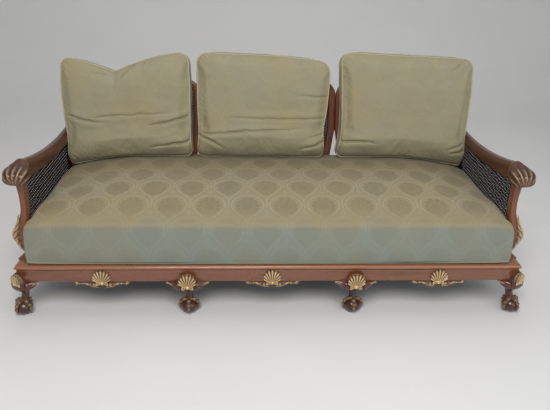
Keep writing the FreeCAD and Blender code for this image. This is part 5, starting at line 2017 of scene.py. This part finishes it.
@dataclass
class BackCushions:
    """Three loose cushions with piped seams, inflated as cloth and then creased."""

    height: float = 0.449
    lift: float = 0.188
    thickness: float = 0.138
    border: float = 0.084
    corner: float = 0.046
    low_corner: float = 0.024
    clearance: float = 0.001
    columns: int = 96
    rows: int = 78
    border_steps: int = 8
    piping: float = 0.0030
    tuck: float = 0.030
    swell_limit: float = 0.013
    seam_limit: float = 0.0015
    swell_frames: int = 12
    crease_reach: float = 0.06
    seam_share: float = 0.42

    def shapes(self) -> tuple[CushionShape, ...]:
        """The three cushions from left to right.

        Returns:
            Their sizes.
        """
        left = (Fold((0.02, 0.400), (0.33, 0.330), 0.010, 0.0045, -0.006),
                Fold((0.22, 0.380), (0.90, 0.425), 0.006, 0.0035, 0.004),
                Fold((0.985, 0.405), (0.64, 0.310), 0.012, 0.0045, 0.006),
                Fold((0.99, 0.165), (0.78, 0.120), 0.013, 0.0050, 0.004),
                Fold((0.84, 0.120), (0.66, 0.100), 0.006, 0.0040, 0.0),
                Fold((0.44, 0.770), (0.60, 0.960), 0.008, 0.0080, -0.006),
                Fold((0.41, 0.800), (0.24, 0.880), 0.006, 0.0060, 0.004),
                Fold((0.40, 0.780), (0.16, 0.800), 0.004, 0.0060, 0.004))
        middle = (Fold((0.01, 0.225), (0.82, 0.285), 0.009, 0.0040, 0.004),
                  Fold((0.98, 0.385), (0.18, 0.395), 0.007, 0.0040, 0.005),
                  Fold((0.00, 0.215), (0.20, 0.090), 0.012, 0.0050, 0.006),
                  Fold((0.99, 0.180), (0.76, 0.085), 0.011, 0.0050, 0.006),
                  Fold((0.99, 0.260), (0.84, 0.200), 0.006, 0.0045, 0.004),
                  Fold((0.99, 0.590), (0.72, 0.610), 0.005, 0.0050, 0.004))
        right = (Fold((0.00, 0.165), (0.29, 0.150), 0.012, 0.0042, 0.006),
                 Fold((0.98, 0.150), (0.84, 0.080), 0.008, 0.0050, 0.0),
                 Fold((0.99, 0.080), (0.86, 0.040), 0.007, 0.0050, 0.0),
                 Fold((0.66, 0.980), (0.72, 0.880), 0.004, 0.0080, 0.0),
                 Fold((0.97, 0.960), (0.84, 0.840), 0.005, 0.0080, 0.0))
        return (
            CushionShape("left", Body.CUSHION_LEFT, -0.608, 0.534, 0.022, 0.0, 0.083, -0.20,
                         (0.000, -0.001, 0.010, 0.018, 0.014), (0.0, -0.004, -0.002, -0.001, -0.005),
                         0.040, 0.0, left, 3),
            CushionShape("middle", Body.CUSHION_MIDDLE, -0.0245, 0.577, 0.0, 0.036, 0.008, 0.1,
                         (0.002, -0.006, -0.001, 0.000, 0.000), (-0.020, -0.024, -0.012, -0.004, 0.0),
                         0.0, 0.0, middle, 5),
            CushionShape("right", Body.CUSHION_RIGHT, 0.5945, 0.561, -0.008, 0.014, 0.002, -0.1,
                         (0.010, -0.006, -0.004, 0.0, 0.003), (0.0, -0.001, 0.008, 0.016, 0.016),
                         0.0, 0.040, right, 8),
        )

    def top_line(self, shape: CushionShape, place: float) -> float:
        """Height of the top seam before its corners are rounded.

        Args:
            shape: The cushion.
            place: -1 at its left edge to 1 at its right.

        Returns:
            The height above its lower corners.
        """
        low = self.height - shape.dip
        before = min(1.0, max(0.0, (place + 1) / (shape.dip_place + 1)))
        after = min(1.0, max(0.0, (1 - place) / (1 - shape.dip_place)))
        left = self.height - shape.left_drop
        right = self.height - shape.right_drop
        bend = 0.04 * after + 0.96 * after ** 1.9 if right > low else 1 - (1 - after) ** 1.5
        return left + (low - left) * (0.10 * before + 0.90 * before ** 1.35) + (low - right) * (bend - 1)

    def top_edge(self, shape: CushionShape, place: float) -> float:
        """Height of the top seam along a cushion.

        Args:
            shape: The cushion.
            place: -1 at its left edge to 1 at its right.

        Returns:
            The height above its lower corners.
        """
        level = (self.top_line(shape, place - 0.05) + 2 * self.top_line(shape, place)
                 + self.top_line(shape, place + 0.05)) / 4
        near = (1 - abs(place)) * shape.width / 2
        if near < self.corner:
            level -= self.corner - math.sqrt(self.corner ** 2 - (self.corner - near) ** 2)
        return level

    def bottom_edge(self, shape: CushionShape, place: float) -> float:
        """Height of the bottom seam, which droops where the seat falls away.

        Args:
            shape: The cushion.
            place: -1 at its left edge to 1 at its right.

        Returns:
            The height above its lower corners.
        """
        level = 0.004 * (1 - place ** 2)
        level -= shape.left_sag * max(0.0, (0.12 - place) / 1.12) ** 1.7
        level -= shape.right_sag * max(0.0, (place + 0.12) / 1.12) ** 1.7
        near = (1 - abs(place)) * shape.width / 2
        if near < self.low_corner:
            level += self.low_corner - math.sqrt(self.low_corner ** 2 - (self.low_corner - near) ** 2)
        return level

    @staticmethod
    def side_line(offsets: Sequence[float], heights: Sequence[float]) -> np.ndarray:
        """A side's outward offset at each height.

        Args:
            offsets: Offsets at five even heights.
            heights: Shares of the way up.

        Returns:
            One offset for each share.
        """
        fine = np.array(smooth_rows([(i / 4, value) for i, value in enumerate(offsets)], 6))
        return np.interp(heights, fine[:, 0], fine[:, 1])

    @staticmethod
    def face_steps(count: int) -> list[float]:
        """Steps across a face, closer together near its seams.

        Args:
            count: Number of spans.

        Returns:
            Shares from 0 to 1.
        """
        return [0.5 - 0.5 * math.sin(math.pi * (0.5 - i / count)) * 0.35
                - 0.325 * (1 - 2 * i / count) for i in range(count + 1)]

    def face(self, shape: CushionShape, front: bool) -> tuple[list[Points], list[list[tuple]]]:
        """Points of the front or the back of a cushion before it is filled.

        Args:
            shape: The cushion.
            front: Whether it is the front.

        Returns:
            Rows of points and rows of cloth coordinates.
        """
        us, vs = self.face_steps(self.columns), self.face_steps(self.rows)
        lefts, rights = self.side_line(shape.left_side, vs), self.side_line(shape.right_side, vs)
        seam = (self.thickness - self.border) * self.seam_share
        level, crown = (seam + self.border, 0.022) if front else (seam, -0.014)
        rows, cloth = [], []
        for v, left, right in zip(vs, lefts, rights):
            under = self.tuck * max(0.0, 1 - v / 0.10) ** 2 if front else 0.0
            row, flat = [], []
            for u in us:
                place = 2 * u - 1
                x = place * shape.width / 2
                x += right * max(0.0, place) ** 1.5 - left * max(0.0, -place) ** 1.5
                low = self.bottom_edge(shape, place)
                z = low + (self.top_edge(shape, place) - low) * v
                full = ((1 - abs(place) ** 3) * (1 - abs(2 * v - 1) ** 3)) ** 0.5
                out = level + crown * full - under
                if front:
                    out += 0.014 * bump_curve(v, 0.13, 0.15) * full ** 0.5
                row.append(Vector((x, -out, z)))
                flat.append((x + shape.seed * 0.037, z, 0.0))
            rows.append(row)
            cloth.append(flat)
        return rows, cloth

    def mesh_parts(self, shape: CushionShape) -> tuple[MeshParts, np.ndarray, dict[str, list[int]]]:
        """The unfilled cushion: two faces, a border between them and their seams.

        Args:
            shape: The cushion.

        Returns:
            The parts, the cloth coordinates and the points of each seam in order.
        """
        points: Points = []
        cloth: list[tuple[float, float, float]] = []
        faces: list[tuple[int, ...]] = []
        loops = {}
        for label in ("front", "back"):
            rows, flats = self.face(shape, label == "front")
            grid = []
            for row, flat in zip(rows, flats):
                grid.append(list(range(len(points), len(points) + len(row))))
                points += row
                cloth += flat
            for low, high in zip(grid, grid[1:]):
                for i in range(len(low) - 1):
                    quad = (low[i], low[i + 1], high[i + 1], high[i])
                    faces.append(quad if label == "front" else tuple(reversed(quad)))
            loops[label] = (grid[0] + [row[-1] for row in grid[1:]] + list(reversed(grid[-1][:-1]))
                            + [row[0] for row in reversed(grid[1:-1])])
        rings = [loops["front"]]
        for step in range(1, self.border_steps):
            share = step / self.border_steps
            ring = []
            for a, b in zip(loops["front"], loops["back"]):
                middle = points[a].lerp(points[b], share)
                inward = Vector((-middle.x, 0, self.height / 2 - middle.z)).normalized()
                ring.append(len(points))
                points.append(middle + inward * 0.002 * math.sin(math.pi * share))
                cloth.append((cloth[a][0], cloth[a][1] + self.border * share, 0.0))
            rings.append(ring)
        rings.append(loops["back"])
        count = len(loops["front"])
        for near, far in zip(rings, rings[1:]):
            for i in range(count):
                j = (i + 1) % count
                faces.append((near[i], far[i], far[j], near[j]))
        return MeshParts(points, faces), np.array(cloth), loops

    def inflate(self, piece: bpy.types.Object, loops: dict[str, list[int]], half: float) -> None:
        """Swell the cover under pressure and keep a limited share of the movement.

        Args:
            piece: The cushion.
            loops: The points of its seams, which stay almost still.
            half: Half of the cushion's width.
        """
        mesh = piece.data
        count = len(mesh.vertices)
        rest = np.empty(count * 3)
        mesh.vertices.foreach_get("co", rest)
        rest = rest.reshape(-1, 3)
        cloth = piece.modifiers.new("Swelling", "CLOTH")
        settings = cloth.settings
        settings.quality = 5
        settings.mass = 0.25
        settings.tension_stiffness = 9.0
        settings.compression_stiffness = 4.0
        settings.bending_stiffness = 0.2
        settings.use_pressure = True
        settings.uniform_pressure_force = 3.4
        settings.effector_weights.gravity = 0.0
        scene = bpy.context.scene
        for step in range(1, self.swell_frames + 1):
            scene.frame_set(step)
        graph = bpy.context.evaluated_depsgraph_get()
        swollen = np.empty(count * 3)
        piece.evaluated_get(graph).data.vertices.foreach_get("co", swollen)
        move = swollen.reshape(-1, 3) - rest
        limit = np.full(count, self.swell_limit)
        for loop in loops.values():
            limit[loop] = self.seam_limit
        size = np.linalg.norm(move, axis=1)
        move *= np.minimum(1.0, limit / np.maximum(size, 1e-9))[:, None]
        low, side = rest[:, 2] < 0.045, np.abs(rest[:, 0]) > half - 0.014
        move[low, 2] = np.maximum(move[low, 2], -0.0008)
        room = 0.0006 + 0.005 * np.clip((rest[side, 2] - 0.17) / 0.06, 0.0, 1.0)
        move[side, 0] = np.clip(move[side, 0], -room, room)
        piece.modifiers.remove(cloth)
        scene.frame_set(1)
        placed = rest + move
        placed[:, 1] = np.minimum(placed[:, 1], -self.clearance)
        mesh.vertices.foreach_set("co", placed.ravel())
        mesh.update()

    def crease(self, shape: CushionShape, x: float, z: float) -> float:
        """How far a point of the front is pressed in by the cushion's folds.

        Args:
            shape: The cushion.
            x: Place across.
            z: Height on the cushion.

        Returns:
            Movement toward the back, negative where the cloth stands proud.
        """
        total = 0.0
        for index, fold in enumerate(shape.folds):
            ax, az = (fold.start[0] - 0.5) * shape.width, fold.start[1] * self.height
            bx, bz = (fold.end[0] - 0.5) * shape.width, fold.end[1] * self.height
            run = math.hypot(bx - ax, bz - az)
            tx, tz = (bx - ax) / run, (bz - az) / run
            along = (x - ax) * tx + (z - az) * tz
            share = along / run
            if not -0.1 < share < 1.1:
                continue
            wander = fold.bow * math.sin(math.pi * share) + 0.005 * noise.noise(
                Vector((along * 22.0, index * 5.1 + shape.seed, 0.0)))
            away = (x - ax) * -tz + (z - az) * tx - wander
            if abs(away) > self.crease_reach:
                continue
            fade = ease(share, -0.08, 0.10) * (1 - ease(share, 0.55, 1.08))
            valley = math.exp(-(away / fold.width) ** 2)
            above = math.exp(-((away - 0.013) / 0.012) ** 2)
            below = math.exp(-((away + 0.015) / 0.014) ** 2)
            total += fold.depth * fade * (valley - 0.30 * above - 0.42 * below)
        return total

    def ruffle(self, piece: bpy.types.Object, shape: CushionShape) -> None:
        """Add folds, puckers along the seams and slow unevenness.

        Args:
            piece: The filled cushion, already subdivided.
            shape: The cushion.
        """
        mesh = piece.data
        count = len(mesh.vertices)
        flat = np.empty(count * 3)
        mesh.vertices.foreach_get("co", flat)
        spots = flat.reshape(-1, 3)
        front_seam = (self.thickness - self.border) * self.seam_share + self.border
        for i in range(count):
            x, y, z = spots[i]
            on_front = ease(-y, front_seam - 0.004, front_seam + 0.006)
            if on_front <= 0.0:
                continue
            slow = noise.noise(Vector((x * 8.0, z * 8.0 + shape.seed, 0.0)))
            fine = noise.noise(Vector((x * 24.0, z * 34.0, shape.seed + 9.0)))
            place = 2 * x / shape.width
            top = self.top_edge(shape, max(-1.0, min(1.0, place)))
            edge = max(0.0, min((1 - abs(place)) * shape.width / 2, z, top - z))
            pucker = 0.0015 * math.sin((x + z) * 230.0 + 7.0 * fine) * math.exp(-edge / 0.020)
            push = self.crease(shape, x, z) + pucker - 0.0042 * slow - 0.0014 * fine
            spots[i, 1] = min(y + push * on_front, -self.clearance)
        mesh.vertices.foreach_set("co", spots.ravel())
        mesh.update()

    def cord_path(self, points: np.ndarray, loop: Sequence[int]) -> Points:
        """A seam's points, spaced evenly and a little outside the cover.

        Args:
            points: Every point of the cushion.
            loop: The seam.

        Returns:
            The piping's centre line.
        """
        ring = points[list(loop)]
        middle = ring.mean(axis=0)
        spaced: Points = []
        for spot in ring:
            away = spot - middle
            away[1] = 0.0
            away /= max(np.linalg.norm(away), 1e-9)
            point = Vector(spot + away * self.piping * 0.2)
            if not spaced or (point - spaced[-1]).length > 0.0035:
                spaced.append(point)
        return spaced

    def stand(self, shape: CushionShape) -> Matrix:
        """Leans a cushion drawn upright against the hooped back.

        Args:
            shape: The cushion.

        Returns:
            The matrix from the cushion's own drawing to the row frame.
        """
        home = LAYOUT.lean(shape.centre, self.lift, self.clearance)
        return Matrix.Translation(home) @ Matrix.Rotation(-LAYOUT.rake, 4, "X")

    def build_cushion(self, shape: CushionShape, palette: Palette) -> None:
        """Make one cushion and its piping.

        Args:
            shape: The cushion.
            palette: The sofa's finishes.
        """
        parts, cloth, loops = self.mesh_parts(shape)
        piece = make_piece(parts, Dressing("cushion_%s" % shape.name, "damask",
                                           ("back_cushion_" + shape.name,), shape.body),
                           palette.cushion_damask)
        write_cloth(piece.data, cloth)
        self.inflate(piece, loops, shape.width / 2)
        rounding = piece.modifiers.new("Rounding", "SUBSURF")
        rounding.levels = 1
        graph = bpy.context.evaluated_depsgraph_get()
        finer = bpy.data.meshes.new_from_object(piece.evaluated_get(graph))
        piece.modifiers.clear()
        piece.data = finer
        self.ruffle(piece, shape)
        spots = np.empty(len(finer.vertices) * 3)
        finer.vertices.foreach_get("co", spots)
        spots = spots.reshape(-1, 3)
        matrix = self.stand(shape)
        finer.transform(matrix)
        finer.polygons.foreach_set("use_smooth", [True] * len(finer.polygons))
        welts = MeshParts()
        for loop in loops.values():
            path = self.cord_path(spots, loop)
            welts.join(tube(path, [self.piping] * len(path), 10, closed=True))
        welts = welts.placed(matrix)
        piping = make_piece(welts, Dressing("piping_%s" % shape.name, "damask", (), shape.body),
                            palette.piping)
        write_cloth(piping.data, np.array([tuple(p) for p in welts.points]))

    def build(self, palette: Palette) -> None:
        """Make the three cushions.

        Args:
            palette: The sofa's finishes.
        """
        for shape in self.shapes():
            self.build_cushion(shape, palette)


# Studio

@dataclass
class Studio:
    """Pale floor and backdrop, soft light and the photograph's camera."""

    focal: float = 600.0
    frame_width: float = 550.0
    sensor: float = 36.0
    place: tuple[float, float, float] = (-0.0894, -2.2973, 1.3827)
    pitch: float = 0.4456
    yaw: float = 0.0488
    roll: float = 0.0230
    floor_front: float = -6.0
    floor_half: float = 7.0
    floor_drop: float = 0.0002
    bend_start: float = 2.2
    bend_radius: float = 1.2
    wall_place: float = 3.4
    wall_top: float = 4.5

    def camera(self) -> None:
        """Stand the camera where the photograph was taken."""
        data = bpy.data.cameras.new("view")
        data.sensor_width = self.sensor
        data.lens = self.focal * self.sensor / self.frame_width
        data.clip_start = 0.05
        camera = bpy.data.objects.new("view", data)
        bpy.context.scene.collection.objects.link(camera)
        forward = Vector((math.sin(self.yaw) * math.cos(self.pitch),
                          math.cos(self.yaw) * math.cos(self.pitch), -math.sin(self.pitch)))
        level = Vector((math.cos(self.yaw), -math.sin(self.yaw), 0.0))
        upward = level.cross(forward)
        right = level * math.cos(self.roll) + upward * math.sin(self.roll)
        top = upward * math.cos(self.roll) - level * math.sin(self.roll)
        axes = Matrix((right, top, -forward)).transposed().to_4x4()
        camera.matrix_world = Matrix.Translation(self.place) @ axes
        bpy.context.scene.camera = camera

    def lamp(self, name: str, place: tuple[float, float, float], aim: tuple[float, float, float],
             size: float, power: float, colour: tuple[float, float, float]) -> None:
        """Add one soft area lamp.

        Args:
            name: Name of the lamp.
            place: Where it hangs.
            aim: The point it faces.
            size: Its width.
            power: Its strength in watts.
            colour: Its tint.
        """
        data = bpy.data.lights.new(name, "AREA")
        data.size = size
        data.energy = power
        data.color = colour
        lamp = bpy.data.objects.new(name, data)
        bpy.context.scene.collection.objects.link(lamp)
        lamp.location = place
        lamp.rotation_euler = (Vector(aim) - Vector(place)).to_track_quat("-Z", "Y").to_euler()

    def pale_material(self, name: str) -> bpy.types.Material:
        """Plain pale paint for the floor.

        Args:
            name: Name of the material.

        Returns:
            The material.
        """
        material, w, shader, place = start_material(name)
        tone = w.ramp(w.noise(place, 3.0, 2.0), ((0.3, (0.70, 0.70, 0.69)), (0.7, (0.72, 0.72, 0.71))))
        w.tree.links.new(tone, shader.inputs["Base Color"])
        shader.inputs["Roughness"].default_value = 0.85
        return material

    def sweep(self) -> None:
        """Floor that curves up into a backdrop far behind the sofa."""
        path = [(self.floor_front, 0.0), (self.bend_start, 0.0)]
        for step in range(1, 9):
            angle = step * math.pi / 16
            path.append((self.bend_start + self.bend_radius * math.sin(angle),
                         self.bend_radius - self.bend_radius * math.cos(angle)))
        path.append((self.wall_place, self.wall_top))
        rings = [[Vector((x, y, z - self.floor_drop)) for x in (-self.floor_half, self.floor_half)]
                 for y, z in path]
        parts = skin(rings, False, False, closed=False)
        mesh = bpy.data.meshes.new("studio_sweep")
        mesh.from_pydata([tuple(p) for p in parts.points], [], [tuple(reversed(f)) for f in parts.faces])
        mesh.polygons.foreach_set("use_smooth", [True] * len(mesh.polygons))
        mesh.materials.append(self.pale_material("studio_paint"))
        floor = bpy.data.objects.new("studio_sweep", mesh)
        bpy.context.scene.collection.objects.link(floor)

    def build(self) -> None:
        """Set up the whole studio."""
        self.camera()
        self.sweep()
        self.lamp("key", (-0.25, -2.7, 3.0), (0.0, 0.0, 0.3), 1.5, 92.0, (1.0, 0.97, 0.92))
        self.lamp("fill", (2.2, -2.6, 1.6), (0.0, 0.0, 0.4), 2.2, 24.0, (0.90, 0.96, 1.0))
        self.lamp("top", (0.0, 0.8, 3.6), (0.0, 0.0, 0.4), 3.0, 30.0, (1.0, 0.98, 0.95))
        world = bpy.data.worlds.new("studio_air")
        bpy.context.scene.world = world
        world.use_nodes = True
        world.node_tree.nodes["Background"].inputs[0].default_value = (0.93, 0.95, 1.0, 1.0)
        world.node_tree.nodes["Background"].inputs[1].default_value = 0.30
        bpy.context.scene.view_settings.view_transform = "Standard"


def main() -> None:
    """Build every sub-assembly in order."""
    logging.basicConfig(level=logging.INFO, format="%(name)s: %(message)s")
    Studio().build()
    palette = Palette()
    back = HoopedBack()
    SeatFrame().build(palette)
    FrontLegs().build(palette)
    Aprons().build(palette)
    back.build(palette)
    CanePanels(CaneWeave(), back).build(palette)
    Arms().build(palette)
    Seat().build(palette)
    BackCushions().build(palette)


if __name__ == "__main__":
    main()
